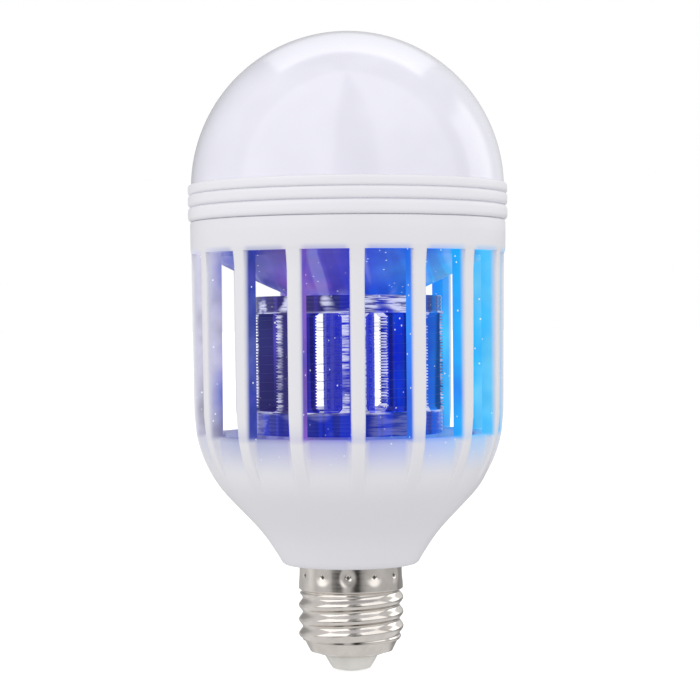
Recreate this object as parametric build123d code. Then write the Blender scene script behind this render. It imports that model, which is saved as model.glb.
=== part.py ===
"""Insect killer light bulb: an LED lamp over an open cage with a blue-lit high-voltage grid, on a screw cap.

Millimetres, +Z up the lamp's axis, origin at the middle of the centre contact's lower face. Angles are
measured from -Y towards +X. Every height is stacked up from the origin, and each piece takes its seat from
the piece it rests on.
"""

import os
from math import atan2, cos, radians, sin, sqrt

from build123d import *

# Screw cap, E27 size
THREAD_MAJOR = 26.2
THREAD_PITCH = 3.629
THREAD_DEPTH = 0.85
THREAD_TURNS = 2.5
THREAD_START_Z = 9.25
THREAD_START_ANGLE = 180.0
SKIRT_STEP = 0.1
SKIRT_Z = 19.7
SKIRT_SLOPE = 0.7
SHELL_WALL = 0.3
SHELL_NOSE_Z = 3.9
SHELL_ROUND_Z = 7.7
SHELL_ROUND = 5.6
PUNCH_COUNT = 12
PUNCH_START = 5.0
PUNCH_Z = 23.1
PUNCH_RADIUS = 1.0
PUNCH_DEPTH = 0.5
INSULATOR_RADIUS = 6.8
INSULATOR_TIP_RADIUS = 4.8
INSULATOR_TIP_STEP = 0.8
INSULATOR_DISC_GAP = 2.4
INSULATOR_DISC = 2.6
INSULATOR_EDGE = 1.2
CONTACT_RADIUS = 3.4
CONTACT_LAND = 2.4
CONTACT_HEIGHT = 0.5
RIVET_RADIUS = 1.4
RIVET_LENGTH = 7.6

# Heights of the body, one on top of the other
NECK_Z = 27.0
BOWL_HEIGHT = 33.1
WINDOW_HEIGHT = 45.2
BAND_HEIGHT = 8.05

# Body radius, at the head of the cage and over the dome, and how the pieces step in and out from it
BODY_RADIUS = 39.5
CAGE_TAPER = 0.4
BAND_STEP = 0.25
COLLAR_SINK = 0.6

# Cage moulding. The bowl's points are shares of the way out and up, from the neck to the straight cage.
NECK_STEP = 3.8
THROAT_OUT, THROAT_UP = 0.18, 0.17
WAIST_OUT, WAIST_UP = 0.485, 0.375
SHOULDER_OUT, SHOULDER_UP = 0.88, 0.695
BOWL_OVERRUN = 4.4
BAND_EDGE = 0.4
BOWL_WALL = 2.4
SPIGOT_WALL = 2.0
SPIGOT_LENGTH = 6.3
BAR_COUNT = 16
BAR_WIDTH = 3.2
BAR_DEPTH = 3.3
BAR_EDGE = 0.8
BAR_ROOT = 0.5
SILL_RECESS = 1.6
SILL_LEAN = 0.3
RECESS_LENGTH = 12.6
LEDGE_THICK = 1.0
GROOVE_WIDTH = 2.6
GROOVE_DEPTH = 0.6
FLOOR_DROP = 4.1

# LED housing with its ribbed collar
RIB_COUNT = 3
RIB_PITCH = 3.3
RIB_HEIGHT = 1.4
HOUSING_SKIRT_WALL = 1.9
HOUSING_FLOOR = 1.5
HOUSING_FLOOR_RISE = 2.0
COLLAR_WALL = 0.85

# Dome
DOME_DROP = 1.55
DOME_SHOULDER = 1.4
DOME_WALL = 1.6
DOME_LIP = 3.2

# LED plate
PLATE_THICK = 1.5
PLATE_MARGIN = 3.25
PLATE_HOLE = 4.0
CHIP_WIDTH, CHIP_LENGTH, CHIP_HEIGHT = 2.8, 3.5, 0.7
CHIP_MARGIN, CHIP_RING_GAP = 9.4, 10.9
OUTER_CHIPS, INNER_CHIPS = 16, 8

# Ceiling cone
CONE_SHEET = 1.3
CONE_DROP = 2.0
CONE_FLANGE = 1.2
CONE_LAND = 1.3
CONE_HUB_RISE = 5.5

# Grid former and its two coils
CHAMBER_GAP = 12.4
HUB_GAP = 4.8
FORMER_LIP = 2.0
FORMER_HEIGHT = 34.5
FORMER_FOOT = 5.9
FORMER_HEAD = 4.3
FIN_COUNT = 8
FIN_WIDTH = 5.8
FIN_CORNER = 1.3
COIL_PITCH = 2.2
COIL_TURNS = 10
WIRE = 0.4
NOTCH_DEPTH = 0.6
NOTCH_WIDTH = 0.8
WIRE_FIT = 0.05

# Light column
TUBE_RADIUS = 6.5
TUBE_WALL = 1.0
TUBE_TOP_GAP = 0.5
STRIP_THICK = 1.2
STRIP_LENGTH = 37.0
UV_WIDTH, UV_LENGTH, UV_HEIGHT = 2.8, 3.5, 0.8
UV_COUNT = 5
UV_FIRST_RISE = 6.0
UV_STEP = 6.6

# Chamber floor
FLOOR_THICK = 1.6
PLINTH_MARGIN = 1.0
PLINTH_HEIGHT = 2.4
SOCKET_WALL = 1.5
SOCKET_DEPTH = 3.0
SOCKET_SEAT = 1.6
SOCKET_HOLE = 4.5

# Driver board and the parts on it
BOARD_GAP = 0.5
BOARD_THICK = 1.6
BOARD_LIFT = 1.0
BOARD_LEDGE = 1.6
LEG_RADIUS = 0.35
LEG_BEND = 0.9
CORE_LENGTH, CORE_DEPTH, CORE_HEIGHT, CORE_WALL = 13.0, 6.0, 11.0, 1.8
WINDING_DEPTH, WINDING_ROUND = 11.0, 2.0
TRANSFORMER_INSET, TRANSFORMER_Y = 11.8, 3.0
CAN_RADIUS, CAN_LENGTH, CAN_EDGE = 5.0, 12.0, 0.8
CAN_Y = -7.0
FILM_LENGTH, FILM_DEPTH, FILM_HEIGHT, FILM_EDGE = 10.0, 5.0, 9.0, 0.6
FILM_COUNT, FILM_STEP, FILM_INSET, FILM_Y = 3, 6.4, 13.8, -12.0
BRIDGE_LENGTH, BRIDGE_DEPTH, BRIDGE_HEIGHT, BRIDGE_EDGE = 6.4, 5.0, 2.6, 0.4
BRIDGE_X, BRIDGE_INSET = -3.0, 7.8
FUSE_LENGTH, FUSE_RADIUS, FUSE_SPAN = 9.0, 1.8, 14.0
FUSE_INSET_X, FUSE_INSET_Y = 11.8, 12.8
DIODE_LENGTH, DIODE_RADIUS, DIODE_SPAN = 5.0, 1.3, 10.0
DIODE_COUNT, DIODE_STEP, DIODE_X, DIODE_INSET = 3, 4.0, 8.0, 8.8

# Screws
SCREW_COUNT = 3
SCREW_RADIUS = 1.25
SCREW_HEAD_RADIUS = 2.6
SCREW_HEAD = 1.6
SCREW_LENGTH = 8.0
CROSS_LENGTH, CROSS_WIDTH, CROSS_DEPTH = 2.6, 0.6, 0.8
BOSS_RADIUS = 2.7
PLATE_SCREW_INSET = 3.8
FLOOR_SCREW_INSET = 5.0

# Leads
LEAD_RADIUS = 0.6
GRID_LEAD_RADIUS = 0.5
LEAD_GAP = 0.3
PAD_INSET, LEAD_STRAIGHT = 1.3, 3.0
LIVE_X, LIVE_Y, LIVE_RUN = 5.0, 2.0, 8.0
LIVE_BEND, NEUTRAL_BEND, LED_BEND, GRID_BEND = 6.0, 2.0, 1.2, 1.2
NEUTRAL_INSET, NEUTRAL_Z = 3.3, 14.0
LED_LEAD_X, LED_LEAD_Y = 1.3, 3.1
LED_LEAD_REACH, LED_LEAD_RISE = 3.0, 2.6
OUTER_LEAD_SPAN, INNER_LEAD_SPAN = 4, 1

FIT = 0.2

# Heights that follow from the stack
SILL_Z = NECK_Z + BOWL_HEIGHT
HEAD_Z = SILL_Z + WINDOW_HEIGHT
BAND_TOP = HEAD_Z + BAND_HEIGHT
COLLAR_TOP = BAND_TOP + RIB_COUNT * RIB_PITCH
DOME_CENTRE = COLLAR_TOP - DOME_DROP
FLOOR_Z = SILL_Z - FLOOR_DROP
PLINTH_TOP = FLOOR_Z + FLOOR_THICK + PLINTH_HEIGHT
TUBE_SEAT = PLINTH_TOP - SOCKET_SEAT
FORMER_TOP = PLINTH_TOP + FORMER_HEIGHT
CAGE_FOOT_RISE = BOWL_HEIGHT + BOWL_OVERRUN
BOARD_Z = NECK_Z + WAIST_UP * CAGE_FOOT_RISE + BOARD_LIFT
BOARD_TOP = BOARD_Z + BOARD_THICK
FLANGE_Z = HEAD_Z + LEDGE_THICK
SKIRT_BOTTOM = FLANGE_Z + CONE_FLANGE
PLATE_Z = BAND_TOP + HOUSING_FLOOR_RISE + HOUSING_FLOOR
PLATE_TOP = PLATE_Z + PLATE_THICK

# Radii that follow from the pieces around
SKIRT_RADIUS = THREAD_MAJOR / 2 + SKIRT_STEP
NECK_RADIUS = SKIRT_RADIUS + NECK_STEP
CAGE_FOOT_RADIUS = BODY_RADIUS - CAGE_TAPER
BOWL_SPREAD = CAGE_FOOT_RADIUS - NECK_RADIUS
BAND_RADIUS = BODY_RADIUS + BAND_STEP
DOME_RADIUS = BODY_RADIUS
RIB_ROOT_RADIUS = BODY_RADIUS - COLLAR_SINK
LIP_BORE = RIB_ROOT_RADIUS - COLLAR_WALL
PLATE_RADIUS = LIP_BORE - PLATE_MARGIN
OUTER_CHIP_CIRCLE = PLATE_RADIUS - CHIP_MARGIN
INNER_CHIP_CIRCLE = OUTER_CHIP_CIRCLE - CHIP_RING_GAP
PLATE_SCREW_CIRCLE = PLATE_RADIUS - PLATE_SCREW_INSET
CAGE_BORE = BODY_RADIUS - BAR_DEPTH - FIT
BAND_BORE = CAGE_BORE + BAR_DEPTH / 2
FLOOR_BORE = CAGE_BORE - LEDGE_THICK
FLOOR_SCREW_CIRCLE = FLOOR_BORE - FLOOR_SCREW_INSET
BOARD_RADIUS = NECK_RADIUS + WAIST_OUT * BOWL_SPREAD - BOWL_WALL - BOARD_GAP
TUBE_SOCKET = TUBE_RADIUS + FIT
FORMER_RADIUS = CAGE_BORE - CHAMBER_GAP
FORMER_BORE = TUBE_SOCKET + SOCKET_WALL + HUB_GAP
FORMER_INNER_RADIUS = FORMER_BORE + FORMER_LIP
PLINTH_RADIUS = FORMER_RADIUS + PLINTH_MARGIN
CONE_LAND_RADIUS = FORMER_BORE + CONE_LAND
OUTER_LEAD_RADIUS = FORMER_RADIUS + GRID_LEAD_RADIUS + LEAD_GAP
INNER_LEAD_RADIUS = FORMER_BORE - GRID_LEAD_RADIUS - LEAD_GAP
SPIGOT_RADIUS = SKIRT_RADIUS - SHELL_WALL - FIT
SPIGOT_BORE = SPIGOT_RADIUS - SPIGOT_WALL
HOUSING_SKIRT_RADIUS = BAND_BORE - FIT
TUBE_TOP = FORMER_TOP + CONE_HUB_RISE - TUBE_TOP_GAP
STRIP_WIDTH = 2 * (TUBE_RADIUS - TUBE_WALL - FIT)
THREAD_ROOT_RADIUS = THREAD_MAJOR / 2 - THREAD_DEPTH
SHELL_BORE = THREAD_ROOT_RADIUS - SHELL_WALL - FIT
INSULATOR_DISC_RADIUS = SHELL_BORE - INSULATOR_DISC_GAP
OUTER_REACH = FORMER_RADIUS - NOTCH_DEPTH + WIRE / 2 + WIRE_FIT
INNER_REACH = FORMER_INNER_RADIUS + NOTCH_DEPTH - WIRE / 2 - WIRE_FIT
BAR_STEP = 360 / BAR_COUNT
FIN_STEP = 360 / FIN_COUNT


def spun(*lines):
    """Turn a closed outline, drawn as radius and height, about the lamp's axis."""
    return revolve(Plane.XZ * make_face(Curve() + list(lines)), Axis.Z)


def turned(*points):
    """Turn a straight-sided outline about the lamp's axis."""
    return spun(Polyline(*points, close=True))


def around(angle, radius=0.0, height=0.0):
    """A place on the lamp, at an angle from -Y towards +X, whose own -Y looks outwards."""
    return Rot(0, 0, angle) * Pos(0, -radius, height)


def rod(radius, bottom, top):
    """An upright round bar between two heights."""
    return Pos(0, 0, bottom) * Cylinder(radius, top - bottom, align=(Align.CENTER, Align.CENTER, Align.MIN))


def block(width, depth, height):
    """A box that stands on its own foot."""
    return Box(width, depth, height, align=(Align.CENTER, Align.CENTER, Align.MIN))


def bowl_curve(inset=0.0, shoulder_inset=0.0):
    """The bowl's S-shaped side, from the neck up to the foot of the straight cage."""
    shape = (
        (0, 0, inset),
        (THROAT_OUT, THROAT_UP, inset),
        (WAIST_OUT, WAIST_UP, inset),
        (SHOULDER_OUT, SHOULDER_UP, inset + shoulder_inset),
        (1, 1, inset + shoulder_inset),
    )
    points = [
        (NECK_RADIUS + out * BOWL_SPREAD - deep, NECK_Z + up * CAGE_FOOT_RISE) for out, up, deep in shape
    ]
    return Spline(*points, tangents=((0.5, 1), (0, 1)))


def cage_envelope(inset=0.0):
    """The full outer form of the cage, as if it had no windows."""
    curve = bowl_curve(inset)
    foot, top = curve @ 0, curve @ 1
    return spun(
        curve,
        Polyline(top, (BODY_RADIUS - inset, HEAD_Z + BAR_ROOT), (0, HEAD_Z + BAR_ROOT), (0, NECK_Z), foot),
    )


def recessed_bowl():
    """The bowl between the bars: it steps in at the sill and runs out into the full form lower down."""
    fade_z = SILL_Z - RECESS_LENGTH
    outer = bowl_curve()
    fade = outer @ 0
    for step in range(100):
        point = outer @ (step / 100)
        if point.Y < fade_z:
            fade = point
    sill = Vector(CAGE_FOOT_RADIUS - SILL_RECESS - SILL_LEAN, SILL_Z)
    beyond = 2 * CAGE_FOOT_RADIUS
    cutter = spun(
        Spline(fade, sill, tangents=((0.62, 1), (0.1, 1))),
        Polyline(sill, (sill.X, HEAD_Z + 1), (beyond, HEAD_Z + 1), (beyond, fade.Y), fade),
    )
    lid = Pos(0, 0, SILL_Z) * block(4 * CAGE_FOOT_RADIUS, 4 * CAGE_FOOT_RADIUS, 2 * WINDOW_HEIGHT)
    return cage_envelope() - cutter - lid


def cage_bar():
    """One bar at the front, from inside the bowl to the band, with rounded outer edges."""
    ring = cage_envelope() - rod(CAGE_BORE, 0, 2 * HEAD_Z)
    slab = Pos(0, -CAGE_BORE - BAR_DEPTH / 2, SILL_Z - 0.5 * BOWL_HEIGHT) * block(
        BAR_WIDTH, 3 * BAR_DEPTH, WINDOW_HEIGHT + 0.5 * BOWL_HEIGHT + 0.8 * BAR_ROOT
    )
    bar = (ring & slab).solid()
    corners = [
        edge
        for edge in bar.edges()
        if abs(abs(edge.center().X) - BAR_WIDTH / 2) < 0.01
        and edge.center().Y < -CAGE_BORE - BAR_DEPTH / 3
        and edge.length > WINDOW_HEIGHT / 4
    ]
    return fillet(corners, BAR_EDGE)


def screw_places(circle):
    """The angles of the screws on a circle, the first one at the back."""
    return [around(180 + index * 360 / SCREW_COUNT, circle) for index in range(SCREW_COUNT)]


def cage_shell():
    """One moulding: upper band, bars, bowl, neck and the spigot inside the cap."""
    band = turned(
        (CAGE_BORE, HEAD_Z),
        (BAND_RADIUS, HEAD_Z),
        (BAND_RADIUS, BAND_TOP - BAND_EDGE),
        (BAND_RADIUS - BAND_EDGE, BAND_TOP),
        (BAND_BORE, BAND_TOP),
        (BAND_BORE, FLANGE_Z),
        (CAGE_BORE, FLANGE_Z),
    )
    inner_curve = bowl_curve(BOWL_WALL, SILL_RECESS)
    inside = spun(
        inner_curve,
        Polyline(
            inner_curve @ 1,
            (inner_curve @ 1 + Vector(0, 1)),
            (0, (inner_curve @ 1).Y + 1),
            (0, NECK_Z),
            inner_curve @ 0,
        ),
    )
    inside = inside & rod(2 * CAGE_BORE, NECK_Z + SPIGOT_WALL, FLOOR_Z)
    seat = rod(FLOOR_BORE, FLOOR_Z, HEAD_Z)
    spigot = rod(SPIGOT_RADIUS, NECK_Z - SPIGOT_LENGTH, NECK_Z)
    bosses = [
        place * rod(BOSS_RADIUS, BOARD_TOP, FLOOR_Z) & cage_envelope(BOWL_WALL / 2)
        for place in screw_places(FLOOR_SCREW_CIRCLE)
    ]
    ledge_radius = BOARD_RADIUS - BOARD_LEDGE
    ledge = turned(
        (ledge_radius, BOARD_Z),
        (BOARD_RADIUS + BOWL_WALL, BOARD_Z),
        (ledge_radius, BOARD_Z - BOARD_LEDGE - BOWL_WALL),
    )
    bar = cage_bar()
    bars = [around(BAR_STEP * (index + 0.5)) * bar for index in range(BAR_COUNT)]
    shell = recessed_bowl() - inside - seat + spigot
    shell = shell + (ledge & cage_envelope(BOWL_WALL / 2)) + bosses + band + bars
    shell -= rod(SPIGOT_BORE, 0, NECK_Z + SPIGOT_WALL)
    pilots = [
        place * rod(SCREW_RADIUS + FIT / 4, FLOOR_Z - SCREW_LENGTH, FLOOR_Z)
        for place in screw_places(FLOOR_SCREW_CIRCLE)
    ]
    groove = rod(SPIGOT_RADIUS + FIT, PUNCH_Z - GROOVE_WIDTH / 2, PUNCH_Z + GROOVE_WIDTH / 2)
    groove -= rod(SPIGOT_RADIUS - GROOVE_DEPTH, 0, NECK_Z)
    return shell - pilots - groove


def punch(index, radius):
    """The round tool that dents the cap's skirt into the spigot's groove."""
    reach = SKIRT_RADIUS - SHELL_WALL - PUNCH_DEPTH + PUNCH_RADIUS
    return around(PUNCH_START + index * 360 / PUNCH_COUNT, reach, PUNCH_Z) * Sphere(radius)


def screw_shell():
    """The rolled metal cap: smooth punched skirt, knuckle thread and a nose turned in over the insulator."""
    root, bore = THREAD_ROOT_RADIUS, SHELL_BORE
    nose_radius = INSULATOR_RADIUS + FIT / 2
    outer_nose = RadiusArc((nose_radius, SHELL_NOSE_Z), (root, SHELL_ROUND_Z), -SHELL_ROUND)
    inner_nose = RadiusArc(
        (nose_radius, SHELL_NOSE_Z + SHELL_WALL), (bore, SHELL_ROUND_Z), SHELL_WALL - SHELL_ROUND
    )
    shell = spun(
        outer_nose,
        Polyline(
            (root, SHELL_ROUND_Z),
            (root, SKIRT_Z - SKIRT_SLOPE),
            (SKIRT_RADIUS, SKIRT_Z),
            (SKIRT_RADIUS, NECK_Z),
            (SKIRT_RADIUS - SHELL_WALL, NECK_Z),
            (SKIRT_RADIUS - SHELL_WALL, SKIRT_Z + SHELL_WALL),
            (bore, SKIRT_Z + SHELL_WALL - SKIRT_SLOPE),
            (bore, SHELL_ROUND_Z),
        ),
        inner_nose,
        Line((nose_radius, SHELL_NOSE_Z + SHELL_WALL), (nose_radius, SHELL_NOSE_Z)),
    )
    skirt_bore = rod(SKIRT_RADIUS - SHELL_WALL, SKIRT_Z + SHELL_WALL, NECK_Z)
    cups = [punch(index, PUNCH_RADIUS) & skirt_bore for index in range(PUNCH_COUNT)]
    dents = [punch(index, PUNCH_RADIUS - SHELL_WALL) for index in range(PUNCH_COUNT)]
    return shell + cups - dents + thread()


def thread():
    """The right-handed knuckle thread, one rounded ridge wound round the shell."""
    root = THREAD_ROOT_RADIUS
    half = 0.42 * THREAD_PITCH
    path = Helix(THREAD_PITCH, THREAD_PITCH * THREAD_TURNS, root)
    ridge = Curve() + [
        ThreePointArc((-0.2, -half), (THREAD_DEPTH, 0), (-0.2, half)),
        Line((-0.2, half), (-0.2, -half)),
    ]
    section = Plane(origin=(root, 0, 0), x_dir=(1, 0, 0), z_dir=(0, -1, 0)) * make_face(ridge)
    return Pos(0, 0, THREAD_START_Z) * Rot(0, 0, THREAD_START_ANGLE) * sweep(section, path, is_frenet=True)


def cap_insulator():
    """Moulded plug that holds the contact rivet and closes the shell's nose."""
    disc_z = SHELL_NOSE_Z + SHELL_WALL + CONTACT_HEIGHT
    return turned(
        (RIVET_RADIUS, CONTACT_HEIGHT),
        (INSULATOR_TIP_RADIUS, CONTACT_HEIGHT),
        (INSULATOR_TIP_RADIUS + INSULATOR_TIP_STEP, CONTACT_HEIGHT + 1.0),
        (INSULATOR_RADIUS, SHELL_NOSE_Z),
        (INSULATOR_RADIUS, disc_z),
        (INSULATOR_DISC_RADIUS - INSULATOR_EDGE, disc_z + 0.75 * INSULATOR_EDGE),
        (INSULATOR_DISC_RADIUS, disc_z + INSULATOR_DISC),
        (RIVET_RADIUS, disc_z + INSULATOR_DISC),
    )


def centre_contact():
    """Rivet with a flat land at the very end of the lamp."""
    return turned(
        (0, 0),
        (CONTACT_LAND, 0),
        (CONTACT_RADIUS, CONTACT_HEIGHT * 0.6),
        (CONTACT_RADIUS, CONTACT_HEIGHT),
        (RIVET_RADIUS, CONTACT_HEIGHT),
        (RIVET_RADIUS, RIVET_LENGTH),
        (0, RIVET_LENGTH),
    )


def led_housing():
    """White moulding: the ribbed collar outside, a floor for the LED plate and a skirt inside the band."""
    floor_z = BAND_TOP + HOUSING_FLOOR_RISE
    root, half = RIB_ROOT_RADIUS, RIB_PITCH / 2
    ribs = [
        ThreePointArc((root, z - half), (root + RIB_HEIGHT, z), (root, z + half))
        for z in [BAND_TOP + RIB_PITCH * (index + 0.5) for index in range(RIB_COUNT)]
    ]
    skirt_bore = HOUSING_SKIRT_RADIUS - HOUSING_SKIRT_WALL
    inside = Polyline(
        (root, COLLAR_TOP),
        (LIP_BORE, COLLAR_TOP),
        (LIP_BORE, COLLAR_TOP - DOME_LIP - FIT),
        (PLATE_RADIUS + FIT, COLLAR_TOP - DOME_LIP - FIT),
        (PLATE_RADIUS + FIT, PLATE_Z),
        (PLATE_HOLE + 1, PLATE_Z),
        (PLATE_HOLE + 1, floor_z),
        (skirt_bore, floor_z),
        (skirt_bore, SKIRT_BOTTOM),
        (HOUSING_SKIRT_RADIUS, SKIRT_BOTTOM),
        (HOUSING_SKIRT_RADIUS, BAND_TOP),
        (root, BAND_TOP),
    )
    bosses = [
        place * rod(BOSS_RADIUS, floor_z - SCREW_LENGTH + 1, floor_z)
        for place in screw_places(PLATE_SCREW_CIRCLE)
    ]
    pilots = [
        place * rod(SCREW_RADIUS + FIT / 4, PLATE_Z - SCREW_LENGTH + PLATE_THICK, PLATE_Z)
        for place in screw_places(PLATE_SCREW_CIRCLE)
    ]
    return spun(*ribs, inside) + bosses - pilots


def diffuser_dome():
    """Milky dome, a thin ball-shaped shell with a lip that drops into the collar."""
    inner = DOME_RADIUS - DOME_WALL
    lip_radius = LIP_BORE - FIT
    lip_inner = lip_radius - DOME_WALL
    foot_radius = sqrt(DOME_RADIUS**2 - DOME_DROP**2)
    shoulder_z = COLLAR_TOP + DOME_SHOULDER
    shoulder_radius = sqrt(inner**2 - (shoulder_z - DOME_CENTRE) ** 2)
    diagonal = sin(radians(45))
    return spun(
        ThreePointArc(
            (foot_radius, COLLAR_TOP),
            (DOME_RADIUS * diagonal, DOME_CENTRE + DOME_RADIUS * diagonal),
            (0, DOME_CENTRE + DOME_RADIUS),
        ),
        Line((0, DOME_CENTRE + DOME_RADIUS), (0, DOME_CENTRE + inner)),
        ThreePointArc(
            (0, DOME_CENTRE + inner),
            (inner * diagonal, DOME_CENTRE + inner * diagonal),
            (shoulder_radius, shoulder_z),
        ),
        Polyline(
            (shoulder_radius, shoulder_z),
            (lip_inner, COLLAR_TOP),
            (lip_inner, COLLAR_TOP - DOME_LIP),
            (lip_radius, COLLAR_TOP - DOME_LIP),
            (lip_radius, COLLAR_TOP),
            (foot_radius, COLLAR_TOP),
        ),
    )


def screw(seat_z, length):
    """Pan-head screw standing in its hole, its head on a seat at the given height."""
    head = Pos(0, 0, seat_z) * Cylinder(
        SCREW_HEAD_RADIUS, SCREW_HEAD, align=(Align.CENTER, Align.CENTER, Align.MIN)
    )
    head = fillet(head.edges().group_by(Axis.Z)[-1], SCREW_HEAD / 2)
    cut = Pos(0, 0, seat_z + SCREW_HEAD - CROSS_DEPTH) * block(CROSS_LENGTH, CROSS_WIDTH, SCREW_HEAD)
    slots = [Rot(0, 0, turn) * cut for turn in (0, 90)]
    return head + rod(SCREW_RADIUS, seat_z - length, seat_z) - slots


def led_plate():
    """Aluminium board under the dome."""
    hole = rod(SCREW_RADIUS + FIT, PLATE_Z, PLATE_TOP)
    holes = [place * hole for place in screw_places(PLATE_SCREW_CIRCLE)]
    return rod(PLATE_RADIUS, PLATE_Z, PLATE_TOP) - rod(PLATE_HOLE, PLATE_Z, PLATE_TOP) - holes


def led_chips():
    """White light chips in two rings on the plate."""
    chip = block(CHIP_WIDTH, CHIP_LENGTH, CHIP_HEIGHT)
    return Compound(
        children=[
            around((index + 0.5) * 360 / count, radius, PLATE_TOP) * chip
            for radius, count in ((OUTER_CHIP_CIRCLE, OUTER_CHIPS), (INNER_CHIP_CIRCLE, INNER_CHIPS))
            for index in range(count)
        ]
    )


def led_plate_screws():
    """Three screws that hold the plate to the housing."""
    seated = screw(PLATE_TOP, SCREW_LENGTH)
    return Compound(children=[place * seated for place in screw_places(PLATE_SCREW_CIRCLE)])


def ceiling_cone():
    """Shallow funnel over the chamber, clamped over the windows, with a hub for the tube and the former."""
    rim_radius = CAGE_BORE - FIT
    rim_z = FLANGE_Z - CONE_DROP
    slope = (rim_z - FORMER_TOP) / (rim_radius - CONE_LAND_RADIUS)
    hub = TUBE_SOCKET + SOCKET_WALL
    upper_radius = rim_radius - CONE_SHEET
    upper_z = rim_z - CONE_SHEET * slope + CONE_SHEET
    return turned(
        (HOUSING_SKIRT_RADIUS, FLANGE_Z),
        (HOUSING_SKIRT_RADIUS, SKIRT_BOTTOM),
        (upper_radius, SKIRT_BOTTOM),
        (upper_radius, upper_z),
        (CONE_LAND_RADIUS, FORMER_TOP + CONE_SHEET),
        (hub, FORMER_TOP + CONE_SHEET),
        (hub, FORMER_TOP + CONE_HUB_RISE),
        (TUBE_SOCKET, FORMER_TOP + CONE_HUB_RISE),
        (TUBE_SOCKET, FORMER_TOP),
        (CONE_LAND_RADIUS, FORMER_TOP),
        (rim_radius, rim_z),
        (rim_radius, FLANGE_Z),
    )


def chamber_floor():
    """Tray that closes the bowl under the chamber, with a plinth for the former and a socket for the tube."""
    rim = FLOOR_BORE - FIT
    tray_top = FLOOR_Z + FLOOR_THICK
    hub = TUBE_SOCKET + SOCKET_WALL
    tray = turned(
        (rim, FLOOR_Z),
        (rim, tray_top),
        (PLINTH_RADIUS + FLOOR_THICK, tray_top),
        (PLINTH_RADIUS, PLINTH_TOP),
        (hub, PLINTH_TOP),
        (hub, PLINTH_TOP + SOCKET_DEPTH),
        (TUBE_SOCKET, PLINTH_TOP + SOCKET_DEPTH),
        (TUBE_SOCKET, TUBE_SEAT),
        (SOCKET_HOLE, TUBE_SEAT),
        (SOCKET_HOLE, TUBE_SEAT - SOCKET_WALL),
        (hub, TUBE_SEAT - SOCKET_WALL),
        (hub, PLINTH_TOP - FLOOR_THICK),
        (PLINTH_RADIUS - PLINTH_MARGIN, PLINTH_TOP - FLOOR_THICK),
        (PLINTH_RADIUS + FLOOR_THICK - PLINTH_MARGIN, FLOOR_Z),
    )
    holes = [place * rod(SCREW_RADIUS + FIT, FLOOR_Z, tray_top) for place in screw_places(FLOOR_SCREW_CIRCLE)]
    lead_holes = [
        around(grid_lead_angle(span), radius) * rod(GRID_LEAD_RADIUS + FIT, FLOOR_Z - 1, PLINTH_TOP + 1)
        for span, radius in ((OUTER_LEAD_SPAN, OUTER_LEAD_RADIUS), (INNER_LEAD_SPAN, INNER_LEAD_RADIUS))
    ]
    return tray - holes - lead_holes


def floor_screws():
    """Three screws that hold the tray to the bosses in the bowl."""
    seat = FLOOR_Z + FLOOR_THICK
    return Compound(
        children=[place * screw(seat, SCREW_LENGTH) for place in screw_places(FLOOR_SCREW_CIRCLE)]
    )


def fin_angles():
    """Each fin of the former stands behind every second bar."""
    return [BAR_STEP / 2 + FIN_STEP * index for index in range(FIN_COUNT)]


def turn_height(index, turn):
    """Height of the wire where it crosses a fin."""
    first = PLINTH_TOP + FORMER_FOOT + COIL_PITCH / 2
    return first + COIL_PITCH * (turn + index / FIN_COUNT)


def grid_former():
    """Clear comb frame: two rings joined by eight deep fins, notched inside and out for the wire."""
    fin_height = FORMER_HEIGHT - FORMER_FOOT - FORMER_HEAD
    foot_z = PLINTH_TOP + FORMER_FOOT
    flare = 2 * FIN_CORNER
    pane = RectangleRounded(2 * flare, fin_height, FIN_CORNER * 0.99)
    outline = Rectangle(FIN_WIDTH + flare, fin_height + 1)
    outline -= [Pos(side * (FIN_WIDTH / 2 + flare)) * pane for side in (-1, 1)]
    middle_z = foot_z + fin_height / 2
    front = Plane(origin=(0, -FORMER_INNER_RADIUS, middle_z), x_dir=(1, 0, 0), z_dir=(0, -1, 0))
    fin = extrude(front * outline, FORMER_RADIUS - FORMER_INNER_RADIUS)
    rings = rod(FORMER_RADIUS, PLINTH_TOP, foot_z) + rod(FORMER_RADIUS, FORMER_TOP - FORMER_HEAD, FORMER_TOP)
    rings -= rod(FORMER_BORE, PLINTH_TOP, FORMER_TOP)
    fins = []
    for index, angle in enumerate(fin_angles()):
        notches = [
            Pos(0, -radius, turn_height(index, turn)) * Box(2 * FIN_WIDTH, 2 * NOTCH_DEPTH, NOTCH_WIDTH)
            for turn in range(COIL_TURNS)
            for radius in (FORMER_RADIUS, FORMER_INNER_RADIUS)
        ]
        fins.append(around(angle) * (fin - notches))
    return (rings + fins) & rod(FORMER_RADIUS, PLINTH_TOP, FORMER_TOP)


def coil(reach):
    """Bare wire wound over the fins: it runs straight across each fin and climbs from one fin to the next."""
    points = [
        (around(angle, reach, turn_height(index, turn)) * Pos(side * FIN_WIDTH / 2)).position
        for turn in range(COIL_TURNS)
        for index, angle in enumerate(fin_angles())
        for side in (-1, 1)
    ]
    path = Polyline(*points)
    along = (points[1] - points[0]).normalized()
    section = Plane(origin=points[0], x_dir=(0, 0, 1), z_dir=along) * RegularPolygon(WIRE / 2, 6)
    return sweep(section, path, transition=Transition.RIGHT)


def grid_wire_outer():
    """Outer coil, in the notches on the outside of the fins."""
    return coil(OUTER_REACH)


def grid_wire_inner():
    """Inner coil, in the notches on the inside of the fins."""
    return coil(INNER_REACH)


def uv_tube():
    """Clear tube round the strip that lures the insects."""
    return rod(TUBE_RADIUS, TUBE_SEAT, TUBE_TOP) - rod(TUBE_RADIUS - TUBE_WALL, TUBE_SEAT, TUBE_TOP)


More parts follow.
